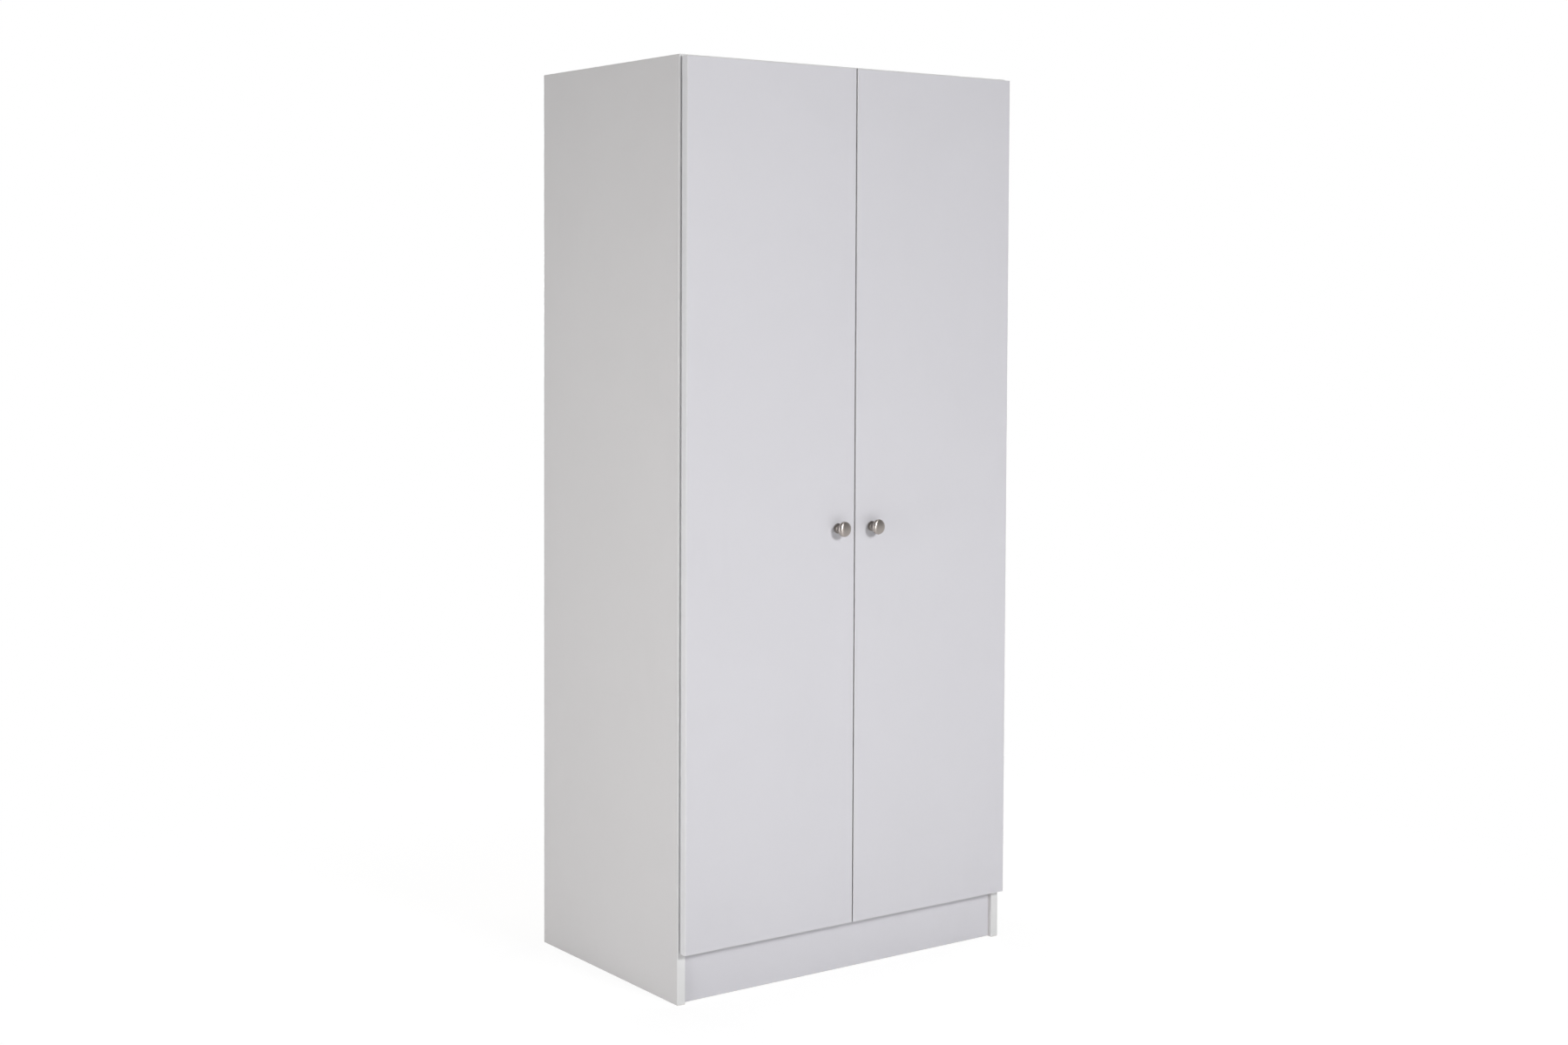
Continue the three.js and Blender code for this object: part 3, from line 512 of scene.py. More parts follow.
@dataclass(frozen=True)
class Melamine:
    """Chipboard with a pearl-embossed melamine facing and a plastic band glued to its edges."""

    name: str
    face: Colour
    band: Colour
    glue: Colour = tint(150, 147, 142)
    glue_shows: float = 0.35
    # the arris colour is partly rubbed wear and partly a painted highlight of the edge catching light
    rubbed: Colour = tint(224, 223, 222)
    rubbed_shows: float = 0.4
    roughness: float = 0.4
    core_roughness: float = 0.9
    band_gloss: float = 0.08
    relief: float = 0.05 * MM
    core_relief: float = 4.0
    flake_flatness: float = 1.5
    cloudiness: float = 0.035
    pit_shade: float = 0.03
    mark_size: float = 0.22
    mark_shade: float = 0.012
    mark_gloss: float = 0.06
    touch_reach: Pair = (150 * MM, 30 * MM)
    smear: float = 9 * MM

    def _marks(self, wiring: Wiring, where: Output, touched: Vector | None) -> Output:
        """Makes the mask of the handling marks.

        Args:
            wiring: the material's tree.
            where: the surface point.
            touched: a point round which hands touch the board, if there is one.

        Returns:
            The mask.
        """
        marks = Handling().on(wiring, Where=where, Size=self.mark_size)["Mask"]
        if touched is None:
            return marks
        distance = wiring.vector("LENGTH", wiring.vector("SUBTRACT", where, tuple(touched)))
        near = wiring.rise(distance, *self.touch_reach)
        smears = wiring.times(near, wiring.noise(where, self.smear, detail=3.0))
        return wiring.calc("MAXIMUM", marks, smears)

    def material(
        self, node: str, bare_low: Vector, bare_high: Vector, touched: Vector | None = None
    ) -> Material:
        """Makes the finish, laid out on one board.

        Args:
            node: the board's node.
            bare_low: 1 for each axis whose low end of the board has no edge band.
            bare_high: 1 for each axis whose high end has none.
            touched: a point round which hands touch the board, if there is one.

        Returns:
            The material.
        """
        material, wiring = new_material(f"{self.name}_{node}")
        where = wiring.place()
        low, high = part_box(node)
        size = high - low
        across = Vector([float(length == min(size)) for length in size])
        corners = {"Where": where, "Low": low, "High": high, "Across": across}
        zones = BoardZones().on(wiring, **corners, **{"Bare low": bare_low, "Bare high": bare_high})
        grain = PearlGrain().on(wiring, Where=where)
        pressed = EVENLY + across * self.flake_flatness
        core = ChipCore().on(wiring, Where=wiring.vector("MULTIPLY", where, tuple(pressed)))
        marks = self._marks(wiring, where, touched)

        cloudy = wiring.shifted(1.0, grain["Cloud"], self.cloudiness)
        levelled = wiring.calc("SUBTRACT", cloudy, self.pit_shade / 2)
        pitted = wiring.shifted(levelled, grain["Height"], self.pit_shade)
        faced = wiring.scaled(self.face, wiring.shifted(pitted, marks, -self.mark_shade))
        banded = wiring.mix(zones["Band"], faced, self.band)
        glued = wiring.mix(wiring.times(zones["Seam"], self.glue_shows), banded, self.glue)
        # the arris is mixed towards a paler colour: partly wear, partly a painted highlight
        worn_and_highlit = wiring.mix(wiring.times(zones["Arris"], self.rubbed_shows), glued, self.rubbed)

        satin = wiring.shifted(self.roughness, marks, -self.mark_gloss)
        satin = wiring.shifted(satin, zones["Band"], -self.band_gloss)
        pressing = wiring.times(grain["Height"], wiring.rest(zones["Band"]))
        flaking = wiring.times(core["Height"], self.core_relief)
        surface(wiring, {
            "Base Color": wiring.mix(zones["Core"], worn_and_highlit, core["Colour"]),
            "Roughness": wiring.shifted(satin, zones["Core"], self.core_roughness - self.roughness),
            "Normal": wiring.bump(wiring.shifted(pressing, flaking, zones["Core"]), self.relief),
        })
        return material


@dataclass(frozen=True)
class Hardboard:
    """Thin hardboard, lacquered white on its smooth face and bare on its back with a screen pattern."""

    name: str = "hardboard"
    lacquer: Colour = tint(208, 206, 203)
    lacquer_shade: float = 0.03
    skin: float = 0.2 * MM
    fibre: Colour = tint(170, 138, 101)
    dark_fibre: Colour = tint(138, 107, 74)
    fibre_from: Pair = (0.25, 0.8)
    hair: float = 0.9 * MM
    hair_long: Triple = (1.5, 1, 1)
    hair_depth: float = 0.5
    cloud: float = 60 * MM
    cloud_shade: float = 0.3
    cloud_level: float = 0.86
    speck: Colour = tint(98, 72, 48)
    speck_size: float = 1.6 * MM
    speck_from: Pair = (0.66, 0.72)
    speck_shows: float = 0.35
    screen: float = 1.7 * MM
    screen_shade: float = 0.07
    screen_depth: float = 0.35
    screen_middle: float = 0.5
    relief: float = 0.08 * MM
    smooth_relief: float = 0.2
    smooth_roughness: float = 0.5
    fibre_dulling: float = 0.35

    def _fibres(self, wiring: Wiring, where: Output, hairs: Output, woven: Output) -> Output:
        """Makes the colour of the bare back.

        Args:
            wiring: the material's tree.
            where: the surface point.
            hairs: the pattern of the fibres.
            woven: the pattern of the screen.

        Returns:
            The colour.
        """
        cloud = wiring.noise(where, self.cloud, detail=4.0)
        specks = wiring.rise(wiring.noise(where, self.speck_size, detail=2.0), *self.speck_from)
        brown = wiring.mix(wiring.rise(hairs, *self.fibre_from), self.dark_fibre, self.fibre)
        brown = wiring.scaled(brown, wiring.shifted(self.cloud_level, cloud, self.cloud_shade))
        brown = wiring.scaled(brown, wiring.shifted(1.0, woven, self.screen_shade))
        return wiring.mix(wiring.times(specks, self.speck_shows), brown, self.speck)

    def material(self, node: str) -> Material:
        """Makes the finish, laid out on one sheet.

        Args:
            node: the sheet's node.

        Returns:
            The material.
        """
        material, wiring = new_material(f"{self.name}_{node}")
        where = wiring.place()
        low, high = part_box(node)
        x, y, z = wiring.parts(where)
        bare = wiring.rise(y, low.y + self.skin, low.y + 2 * self.skin)
        off_back = wiring.rise(y, high.y - self.skin, high.y - 2 * self.skin)

        hairs = wiring.noise(where, self.hair, detail=4.0, stretch=self.hair_long)
        turns = [wiring.times(along, math.tau / self.screen) for along in (x, z)]
        woven = wiring.times(*(wiring.calc("SINE", turn) for turn in turns))
        smooth = wiring.shifted(1 - self.lacquer_shade / 2, hairs, self.lacquer_shade)

        waves = wiring.shifted(self.screen_middle, woven, self.screen_depth)
        height = wiring.shifted(wiring.times(waves, wiring.rest(off_back)), hairs, self.hair_depth)
        rough = wiring.shifted(self.smooth_relief, bare, 1 - self.smooth_relief)
        surface(wiring, {
            "Base Color": wiring.mix(
                bare, wiring.scaled(self.lacquer, smooth), self._fibres(wiring, where, hairs, woven)
            ),
            "Roughness": wiring.shifted(self.smooth_roughness, bare, self.fibre_dulling),
            "Normal": wiring.bump(wiring.times(height, rough), self.relief),
        })
        return material


@dataclass(frozen=True)
class Lined:
    """What metals and plastics share: hairlines in one direction, and faint handling marks."""

    name: str
    colour: Colour
    roughness: float
    metallic: float = 0.0
    clear: float = 0.0
    level: float = 0.975
    stretch: Triple = (1, 1, 1)
    relief: float = 0.02 * MM
    line_shade: float = 0.05
    line_dulling: float = 0.0
    mark_size: float = 0.05
    mark_shade: float = 0.04
    mark_dulling: float = 0.12

    def _inputs(self, wiring: Wiring, where: Output, lined: Output) -> dict[str, Feed]:
        """Works out what goes to the shader.

        Args:
            wiring: the material's tree.
            where: the surface point.
            lined: the coordinates that the hairlines follow.

        Returns:
            What goes to each of the shader's inputs.
        """
        lines = DrawnLines().on(wiring, Where=lined, Stretch=self.stretch)["Height"]
        marks = Handling().on(wiring, Where=where, Size=self.mark_size)["Mask"]
        marked = wiring.shifted(self.level, marks, -self.mark_shade)
        dulled = wiring.shifted(self.roughness, marks, self.mark_dulling)
        return {
            "Base Color": wiring.scaled(self.colour, wiring.shifted(marked, lines, self.line_shade)),
            "Metallic": self.metallic,
            "Roughness": wiring.shifted(dulled, lines, self.line_dulling),
            "Transmission Weight": self.clear,
            "Normal": wiring.bump(lines, self.relief),
        }

    def material(self) -> Material:
        """Makes the finish.

        Returns:
            The material.
        """
        material, wiring = new_material(self.name)
        where = wiring.place()
        surface(wiring, self._inputs(wiring, where, where))
        return material


class Plastic(Lined):
    """Moulded or extruded plastic, with faint flow lines and a dusty bloom."""


@dataclass(frozen=True)
class Metal(Lined):
    """A plated, cast or drawn metal."""

    metallic: float = 1.0
    level: float = 0.94
    relief: float = 0.01 * MM
    line_shade: float = 0.12
    line_dulling: float = 0.08
    mark_size: float = 0.03
    mark_shade: float = 0.1
    mark_dulling: float = 0.1


@dataclass(frozen=True)
class BrushedNickel(Metal):
    """Nickel brushed in one direction, which draws its highlights out across the brush marks."""

    name: str = "brushed_nickel"
    colour: Colour = tint(164, 157, 152)
    roughness: float = 0.28
    level: float = 0.91
    stretch: Triple = (40, 8, 1)
    relief: float = 0.012 * MM
    line_shade: float = 0.2
    line_dulling: float = 0.0
    mark_size: float = 0.012
    mark_shade: float = 0.06
    mark_dulling: float = 0.06
    anisotropy: float = 0.95
    waist_from: float = 1 * MM
    waist_to: float = 6 * MM
    # painted shade: how much darker the base colour is at the foot and neck near the door
    waist_painted_shade: float = 0.3
    waist_dulling: float = 0.06

    def knob_material(self, axis: Vector, hand: Hand, turn: float) -> Material:
        """Makes the finish, centred on one knob, duller round its waist and darker there with painted shade.

        Args:
            axis: a point on the knob's axis, which runs along Y.
            hand: which knob it is.
            turn: how far the knob was turned when it was screwed on, in radians.

        Returns:
            The material.
        """
        material, wiring = new_material(f"{self.name}_{hand.word}")
        where = wiring.place()
        turning = {"Vector": where, "Center": axis, "Angle": turn}
        turned = wiring.add("ShaderNodeVectorRotate", turning, rotation_type="Y_AXIS").outputs[0]
        brushed = wiring.add("ShaderNodeCombineXYZ", {0: math.sin(turn), 2: math.cos(turn)}).outputs[0]
        # near the door the foot and neck get painted shade, a darker base colour, as well as a duller surface
        waist = wiring.rise(wiring.parts(where)[1], axis.y + self.waist_from, axis.y + self.waist_to)
        inputs = self._inputs(wiring, where, turned)
        surface(wiring, inputs | {
            "Base Color": wiring.scaled(inputs["Base Color"], wiring.shifted(1.0, waist, -self.waist_painted_shade)),
            "Roughness": wiring.shifted(inputs["Roughness"], waist, self.waist_dulling),
            "Anisotropic": self.anisotropy,
            "Tangent": brushed,
        })
        return material


# The edge bands are paler than the faces: partly the band's own colour, partly painted light that brightens
# edges the lamps leave darker
FRONT_BOARD = Melamine("melamine_front", face=tint(214, 213, 218), band=tint(223, 222, 224))
CARCASE_BOARD = Melamine("melamine_carcase", face=tint(214, 212, 212), band=tint(229, 229, 229))


# ---------------------------------------------------------------- modelling


def facing(direction: Vector, at: Vector, turn: float = 0.0) -> Matrix:
    """The place of a form drawn round +Z that is turned round its axis, aimed in a direction and moved."""
    aimed = direction.to_track_quat("Z", "Y").to_matrix().to_4x4()
    return Matrix.Translation(at) @ aimed @ Matrix.Rotation(turn, 4, "Z")


def finished(form: Form, name: str) -> Mesh:
    """Turns a bmesh into a smooth-shaded mesh with its sharp edges kept.

    Args:
        form: the modelled form, which is used up.
        name: the mesh's name.

    Returns:
        The mesh.
    """
    mesh = bpy.data.meshes.new(name)
    form.to_mesh(mesh)
    form.free()
    mesh.shade_smooth()
    mesh.set_sharp_from_angle(angle=SHARP_FROM)
    return mesh


def mend(form: Form) -> None:
    """Merges a form's doubled vertices and turns its faces outwards."""
    bmesh.ops.remove_doubles(form, verts=form.verts, dist=MERGE_WITHIN)
    bmesh.ops.recalc_face_normals(form, faces=form.faces)


def stamp(form: Form, pattern: Mesh, places: Iterable[Matrix]) -> Form:
    """Adds a copy of a pattern at each place.

    Args:
        form: what the copies are added to.
        pattern: the mesh that is copied.
        places: where the copies go.

    Returns:
        The form.
    """
    for place in places:
        start = len(form.verts)
        form.from_mesh(pattern)
        form.verts.ensure_lookup_table()
        bmesh.ops.transform(form, matrix=place, verts=form.verts[start:])
    return form


class Turning:
    """The half profile of a turned form, as radius and height, from its axis round to its axis."""

    near_axis = 88

    def __init__(self, height: float) -> None:
        """Starts on the axis, at a height."""
        self.points: list[Pair] = [(0.0, height)]

    def line(self, radius: float, height: float) -> "Turning":
        """Adds a straight stretch to a point."""
        self.points.append((radius, height))
        return self

    def arc(self, centre: Pair, radii: Pair, start: float, end: float, steps: int) -> "Turning":
        """Adds a stretch of an ellipse.

        Args:
            centre: its middle.
            radii: its reach in radius and in height.
            start: the angle it starts at, in degrees from the radius direction.
            end: the angle it ends at.
            steps: how many points it gets.

        Returns:
            The profile, for the next stretch.
        """
        for step in range(steps + 1):
            angle = math.radians(start + (end - start) * step / steps)
            self.line(centre[0] + radii[0] * math.cos(angle), centre[1] + radii[1] * math.sin(angle))
        return self

    def dome(self, base: float, radii: Pair, steps: int) -> "Turning":
        """Adds a domed top that stops just short of the axis."""
        return self.arc((0.0, base), radii, 0, self.near_axis, steps)

    def curve(self, pull_out: Pair, pull_in: Pair, end: Pair, steps: int) -> "Turning":
        """Adds a free curve from the last point.

        Args:
            pull_out: the handle that the curve leaves towards.
            pull_in: the handle that it arrives from.
            end: where it ends.
            steps: how many points it gets.

        Returns:
            The profile, for the next stretch.
        """
        knots = [Vector((*point, 0)) for point in (self.points[-1], pull_out, pull_in, end)]
        for point in interpolate_bezier(*knots, steps + 1)[1:]:
            self.line(point.x, point.y)
        return self

    def spun(self, height: float, sides: int) -> Form:
        """Ends the profile on the axis and turns it round Z.

        Args:
            height: the height of the last point.
            sides: how many steps the turn has.

        Returns:
            The closed form.
        """
        self.line(0.0, height)
        form = bmesh.new()
        corners = [form.verts.new((radius, 0, along)) for radius, along in self.points]
        outline = [form.edges.new(pair) for pair in zip(corners, corners[1:])]
        bmesh.ops.spin(
            form, geom=corners + outline, axis=(0, 0, 1), cent=(0, 0, 0),
            angle=math.tau, steps=sides, use_merge=True,
        )
        mend(form)
        return form


@dataclass(frozen=True)
class CrossScrew:
    """The head of a screw with a cross recess, drawn round +Z with its seat at 0, and its shank."""

    head: float
    height: float
    recess: float
    recess_depth: float = 0.8
    recess_taper: float = 0.45
    arm: float = math.tan(math.radians(15))
    dome: float = 0.35
    crown: float = 0.72
    crown_drop: float = 0.3
    shoulder: float = 0.94
    shoulder_drop: float = 0.1
    shank: float = 0.0
    length: float = 0.0
    tip_width: float = 0.7
    tip_length: float = 0.4
    shank_top: float = 0.2
    shank_sides: int = 16

    def pattern(self) -> Mesh:
        """Models the screw.

        Returns:
            Its mesh, for stamping.
        """
        form = bmesh.new()
        self._sink_cross(form)
        self._grow_head(form)
        mend(form)
        if self.length:
            self._add_shank(form)
        return finished(form, "cross_screw")

    def _sink_cross(self, form: Form) -> None:
        """Makes the top of the head with its cross recess.

        Args:
            form: the empty form.
        """
        bmesh.ops.create_grid(form, x_segments=3, y_segments=3, size=self.recess)
        for vert in form.verts:
            for axis in (0, 1):
                if abs(vert.co[axis]) < self.recess / 2:
                    vert.co[axis] = math.copysign(self.arm * self.recess, vert.co[axis])
            vert.co.z = self.height
        arms = [face for face in form.faces if min(map(abs, face.calc_center_median().xy)) < LEVEL_WITHIN]
        rim = [edge for edge in form.edges if edge.is_boundary]
        sunk = bmesh.ops.extrude_face_region(form, geom=arms)["geom"]
        bmesh.ops.delete(form, geom=arms, context="FACES_KEEP_BOUNDARY")
        floor = [part for part in sunk if isinstance(part, bmesh.types.BMVert)]
        depth = min(self.recess, self.height + self.length) * self.recess_depth
        bmesh.ops.scale(form, vec=(self.recess_taper, self.recess_taper, 1), verts=floor)
        bmesh.ops.translate(form, vec=(0, 0, -depth), verts=floor)
        bmesh.ops.subdivide_edges(form, edges=rim, cuts=1)

    def _grow_head(self, form: Form) -> None:
        """Carries the open edge of the top down over the crown and the shoulder to the seat.

        Args:
            form: the form, which has the top.
        """
        level = self.height - LEVEL_WITHIN
        open_edges = [edge for edge in form.edges if edge.is_boundary]
        loop = [edge for edge in open_edges if all(vert.co.z > level for vert in edge.verts)]
        rings = (
            (self.head * self.crown, self.height * (1 - self.dome * self.crown_drop)),
            (self.head * self.shoulder, self.height * (1 - self.dome)),
            (self.head, self.height * (1 - self.shoulder_drop - self.dome)),
            (self.head, 0.0),
        )
        for radius, height in rings:
            grown = bmesh.ops.extrude_edge_only(form, edges=loop)["geom"]
            for vert in (part for part in grown if isinstance(part, bmesh.types.BMVert)):
                out = Vector((vert.co.x, vert.co.y, 0)).normalized() * radius
                vert.co = (out.x, out.y, height)
            loop = [part for part in grown if isinstance(part, bmesh.types.BMEdge) and part.is_boundary]
        bmesh.ops.edgeloop_fill(form, edges=loop)

    def _add_shank(self, form: Form) -> None:
        """Adds the shank with its chamfered tip.

        Args:
            form: the form, which has the whole head.
        """
        top = self.height * self.shank_top
        shank = Turning(-self.length).line(self.shank * self.tip_width, -self.length)
        shank.line(self.shank, -self.length + self.shank * self.tip_length).line(self.shank, top)
        stamp(form, finished(shank.spun(top, self.shank_sides), "shank"), [Matrix.Identity(4)])


@dataclass
class Fitting:
    """A made piece: its name, the body it rides on, its slot, which is not used, its finish and the nodes it
    stands for.
    """

    name: str
    body: str
    slot: str
    material: Material
    stands_for: Sequence[str] = ()

    def add(self, form: Form) -> None:
        """Makes the piece's object, parents it to an empty for its body and hides the nodes it stands for.

        Args:
            form: the modelled form, in place.
        """
        piece = bpy.data.objects.new(self.name, finished(form, self.name))
        piece.data.materials.append(self.material)
        bpy.context.scene.collection.objects.link(piece)
        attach(piece, self.body)
        if self.stands_for:
            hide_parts(*self.stands_for)
        log.info("%s rides on %s with %d faces", self.name, self.body, len(piece.data.polygons))


def dress(node: str, material: Material) -> None:
    """Gives one of the frame's nodes a new finish.

    Args:
        node: the node.
        material: its finish.
    """
    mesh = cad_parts[node].data
    mesh.materials.clear()
    mesh.materials.append(material)
    log.info("%s is dressed in %s", node, material.name)


def middle_of(node: str) -> Vector:
    """The middle of a node's box."""
    low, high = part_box(node)
    return (low + high) / 2


# ---------------------------------------------------------------- sub-assemblies


@dataclass
class Carcase:
    """The boards that stand still: sides, top, floor, hat shelf and plinths, and the caps of their cams."""

    cap_radius: float = 8.6 * MM
    cap_height: float = 0.9 * MM
    cap_from_side: float = 34 * MM
    cap_from_edge: float = 60 * MM
    cap_steps: int = 5
    cap_sides: int = 32

    def build(self) -> None:
        """Dresses every board and adds the cam caps."""
        ends = Vector((1, 0, 0))
        rear = Vector((0, 1, 0))
        foot = Vector((0, 0, 1))
        for hand in Hand:
            self._board(f"side_panel_{hand.word}", CARCASE_BOARD, foot, rear)
        for node in ("top_panel", "bottom_panel", "hat_shelf"):
            self._board(node, CARCASE_BOARD, ends, ends + rear)
        self._board("plinth_front", FRONT_BOARD, ends + foot, ends)
        self._board("plinth_rear", CARCASE_BOARD, ends + foot, ends + foot)
        self._cam_caps("cam_caps_top", "top_panel")
        self._cam_caps("cam_caps_bottom", "bottom_panel")

    @staticmethod
    def _board(node: str, finish: Melamine, bare_low: Vector, bare_high: Vector) -> None:
        """Dresses one board."""
        dress(node, finish.material(node, bare_low, bare_high))

    def _cam_caps(self, name: str, board: str) -> None:
        """Presses caps over the cam fittings, into the underside of a board near its four corners.

        Args:
            name: what the piece is called.
            board: the board's node.
        """
        low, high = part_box(board)
        cap = Turning(0.0).line(self.cap_radius, 0.0)
        flat = self.cap_radius - self.cap_height
        cap.arc((flat, 0.0), (self.cap_height, self.cap_height), 0, 90, self.cap_steps)
        pattern = finished(cap.spun(self.cap_height, self.cap_sides), "cam_cap")
        places = [
            facing(DOWN, Vector((x, y, low.z)))
            for x in (low.x + self.cap_from_side, high.x - self.cap_from_side)
            for y in (low.y + self.cap_from_edge, high.y - self.cap_from_edge)
        ]
        plastic = Plastic(name, tint(222, 221, 219), roughness=0.45).material()
        Fitting(name, "carcase", "strip_plastic", plastic).add(stamp(bmesh.new(), pattern, places))


@dataclass
class Back:
    """The two sheets of the back, the strip that joins them, and the nails that hold them."""

    nail_radius: float = 2.6 * MM
    nail_height: float = 0.6 * MM
    nail_flat: float = 0.6
    nail_steps: int = 4
    nail_sides: int = 16
    nail_spacing: float = 110 * MM
    nail_from_end: float = 45 * MM
    nailed_to: tuple[str, ...] = ("bottom_panel", "hat_shelf")

    def build(self) -> None:
        """Dresses the sheets and the strip and drives in the nails."""
        for hand in Hand:
            node = f"back_panel_{hand.word}"
            dress(node, Hardboard().material(node))
        strip = Plastic("strip_plastic", tint(219, 219, 217), roughness=0.38, stretch=(1, 1, 60))
        dress("back_joining_strip", strip.material())
        self._nails()

    def _nails(self) -> None:
        """Drives flat-headed nails in rows behind the floor and the hat shelf."""
        head = Turning(0.0).line(self.nail_radius, 0.0)
        bevel = (self.nail_radius * (1 - self.nail_flat), self.nail_height)
        head.arc((self.nail_radius * self.nail_flat, 0.0), bevel, 0, 90, self.nail_steps)
        pattern = finished(head.spun(self.nail_height, self.nail_sides), "nail_head")
        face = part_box("back_panel_left")[1].y
        form = bmesh.new()
        for hand in Hand:
            low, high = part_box(f"back_panel_{hand.word}")
            run = high.x - low.x - 2 * self.nail_from_end
            gaps = round(run / self.nail_spacing)
            for height in (middle_of(board).z for board in self.nailed_to):
                stamp(form, pattern, [
                    facing(BACK, Vector((low.x + self.nail_from_end + run / gaps * index, face, height)))
                    for index in range(gaps + 1)
                ])
        steel = Metal("nail_steel", tint(176, 176, 174), roughness=0.38)
        Fitting("back_nails", "carcase", "fastener_steel", steel.material()).add(form)


@dataclass
class HangingRail:
    """The oval rail under the hat shelf and the flanged sockets at its ends."""

    wall: float = 1.5 * MM
    play: float = 0.3 * MM
    socket_wall: float = 3 * MM
    lip: float = 0.8 * MM
    lip_shoulder: float = 0.3
    floor_inset: float = 0.45
    screw: CrossScrew = CrossScrew(head=4.1 * MM, height=1.9 * MM, recess=2.1 * MM)
    screw_from_end: float = 4.5 * MM
    screw_turn: float = 0.4
    steps: int = 20

    def build(self) -> None:
        """Models the rail and both sockets and puts in their screws."""
        drawn = {"roughness": 0.07, "stretch": (60, 1, 1), "relief": 0.002 * MM, "mark_shade": 0.05}
        self._rail(Metal("chrome", tint(205, 207, 210), **drawn).material())
        cast = Metal("chrome_cast", tint(200, 202, 204), roughness=0.14, relief=0.004 * MM).material()
        for hand in Hand:
            self._socket(hand, cast)
        self._screws()

    def _oval(self, form: Form, centre: Vector, tall: float, wide: float) -> list[bmesh.types.BMEdge]:
        """Adds an upright oval loop round a point, in the plane across X.

        Args:
            form: what it is added to.
            centre: its middle.
            tall: its height.
            wide: its width.

        Returns:
            The loop's edges.
        """
        start = len(form.edges)
        turned = Matrix.Translation(centre) @ Matrix.Rotation(math.pi / 2, 4, "Y")
        ring = bmesh.ops.create_circle(form, segments=2 * self.steps, radius=wide / 2, matrix=turned)["verts"]
        for vert in ring:
            vert.co.z += math.copysign((tall - wide) / 2, vert.co.z - centre.z + LEVEL_WITHIN)
        form.edges.ensure_lookup_table()
        return form.edges[start:]

    def _lofted(self, rings: Sequence[Triple], centre: Vector, along: float) -> Form:
        """Joins ovals into a ring-shaped solid.

        Args:
            rings: the place along X, height and width of each oval, round the solid's section.
            centre: where the places are measured from.
            along: 1 or -1, the direction in which they are measured.

        Returns:
            The closed form.
        """
        form = bmesh.new()
        loops = [
            self._oval(form, centre + Vector((along * place, 0, 0)), tall, wide)
            for place, tall, wide in rings
        ]
        for first, second in zip(loops, loops[1:] + loops[:1]):
            bmesh.ops.bridge_loops(form, edges=first + second)
        mend(form)
        return form

    def _rail(self, material: Material) -> None:
        """Makes a plain oval tube.

        Args:
            material: its finish.
        """
        low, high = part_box("hanging_rail")
        length, wide, tall = high - low
        inner = (tall - 2 * self.wall, wide - 2 * self.wall)
        rings = ((0.0, tall, wide), (length, tall, wide), (length, *inner), (0.0, *inner))
        middle = middle_of("hanging_rail")
        form = self._lofted(rings, Vector((low.x, middle.y, middle.z)), 1)
        Fitting("rail_tube", "carcase", "rail_metal", material, ["hanging_rail"]).add(form)

    def _socket(self, hand: Hand, material: Material) -> None:
        """Makes a flanged base, a filleted collar and a bore that the rail's end sits in.

        Args:
            hand: which end of the rail it holds.
            material: its finish.
        """

        def inset(size: Pair, by: float) -> Pair:
            """An oval made smaller all round."""
            return (size[0] - 2 * by, size[1] - 2 * by)

        node = f"rail_socket_{hand.word}"
        low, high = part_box(node)
        rail_low, rail_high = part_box("hanging_rail")
        reach, deep, tall = high - low
        base = (tall, deep)
        bore = inset((rail_high.z - rail_low.z, rail_high.y - rail_low.y), -self.play)
        hollow = inset(bore, bore[1] * self.floor_inset)
        collar = inset(bore, -self.socket_wall)
        outer = hand.outer_x((low, high))
        floor = abs(hand.outer_x((rail_low, rail_high)) - outer) - self.play
        shoulder = self.lip * self.lip_shoulder
        rings = [
            (0.0, *hollow),
            (0.0, *base),
            (self.socket_wall - self.lip, *base),
            (self.socket_wall - shoulder, *inset(base, shoulder)),
            (self.socket_wall, *inset(base, self.lip)),
            (self.socket_wall, *inset(collar, -self.lip)),
            (self.socket_wall + self.lip, *collar),
            (reach - self.lip, *collar),
            (reach - shoulder, *inset(collar, shoulder)),
            (reach, *inset(collar, self.lip)),
            (reach, *bore),
            (floor, *bore),
            (floor, *hollow),
        ]
        middle = middle_of(node)
        form = self._lofted(rings, Vector((outer, middle.y, middle.z)), hand.inwards.x)
        Fitting(f"rail_cup_{hand.word}", "carcase", "rail_metal", material, [node]).add(form)

    def _screws(self) -> None:
        """Puts two screws through each socket's base."""
        pattern = self.screw.pattern()
        form = bmesh.new()
        for hand in Hand:
            node = f"rail_socket_{hand.word}"
            low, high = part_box(node)
            face = hand.outer_x((low, high)) + hand.inwards.x * self.socket_wall
            for height in (low.z + self.screw_from_end, high.z - self.screw_from_end):
                at = Vector((face, middle_of(node).y, height))
                stamp(form, pattern, [facing(hand.inwards, at, self.screw_turn * height)])
        steel = Metal("socket_screw_steel", tint(190, 191, 192), roughness=0.26)
        Fitting("rail_screws", "carcase", "fastener_steel", steel.material()).add(form)


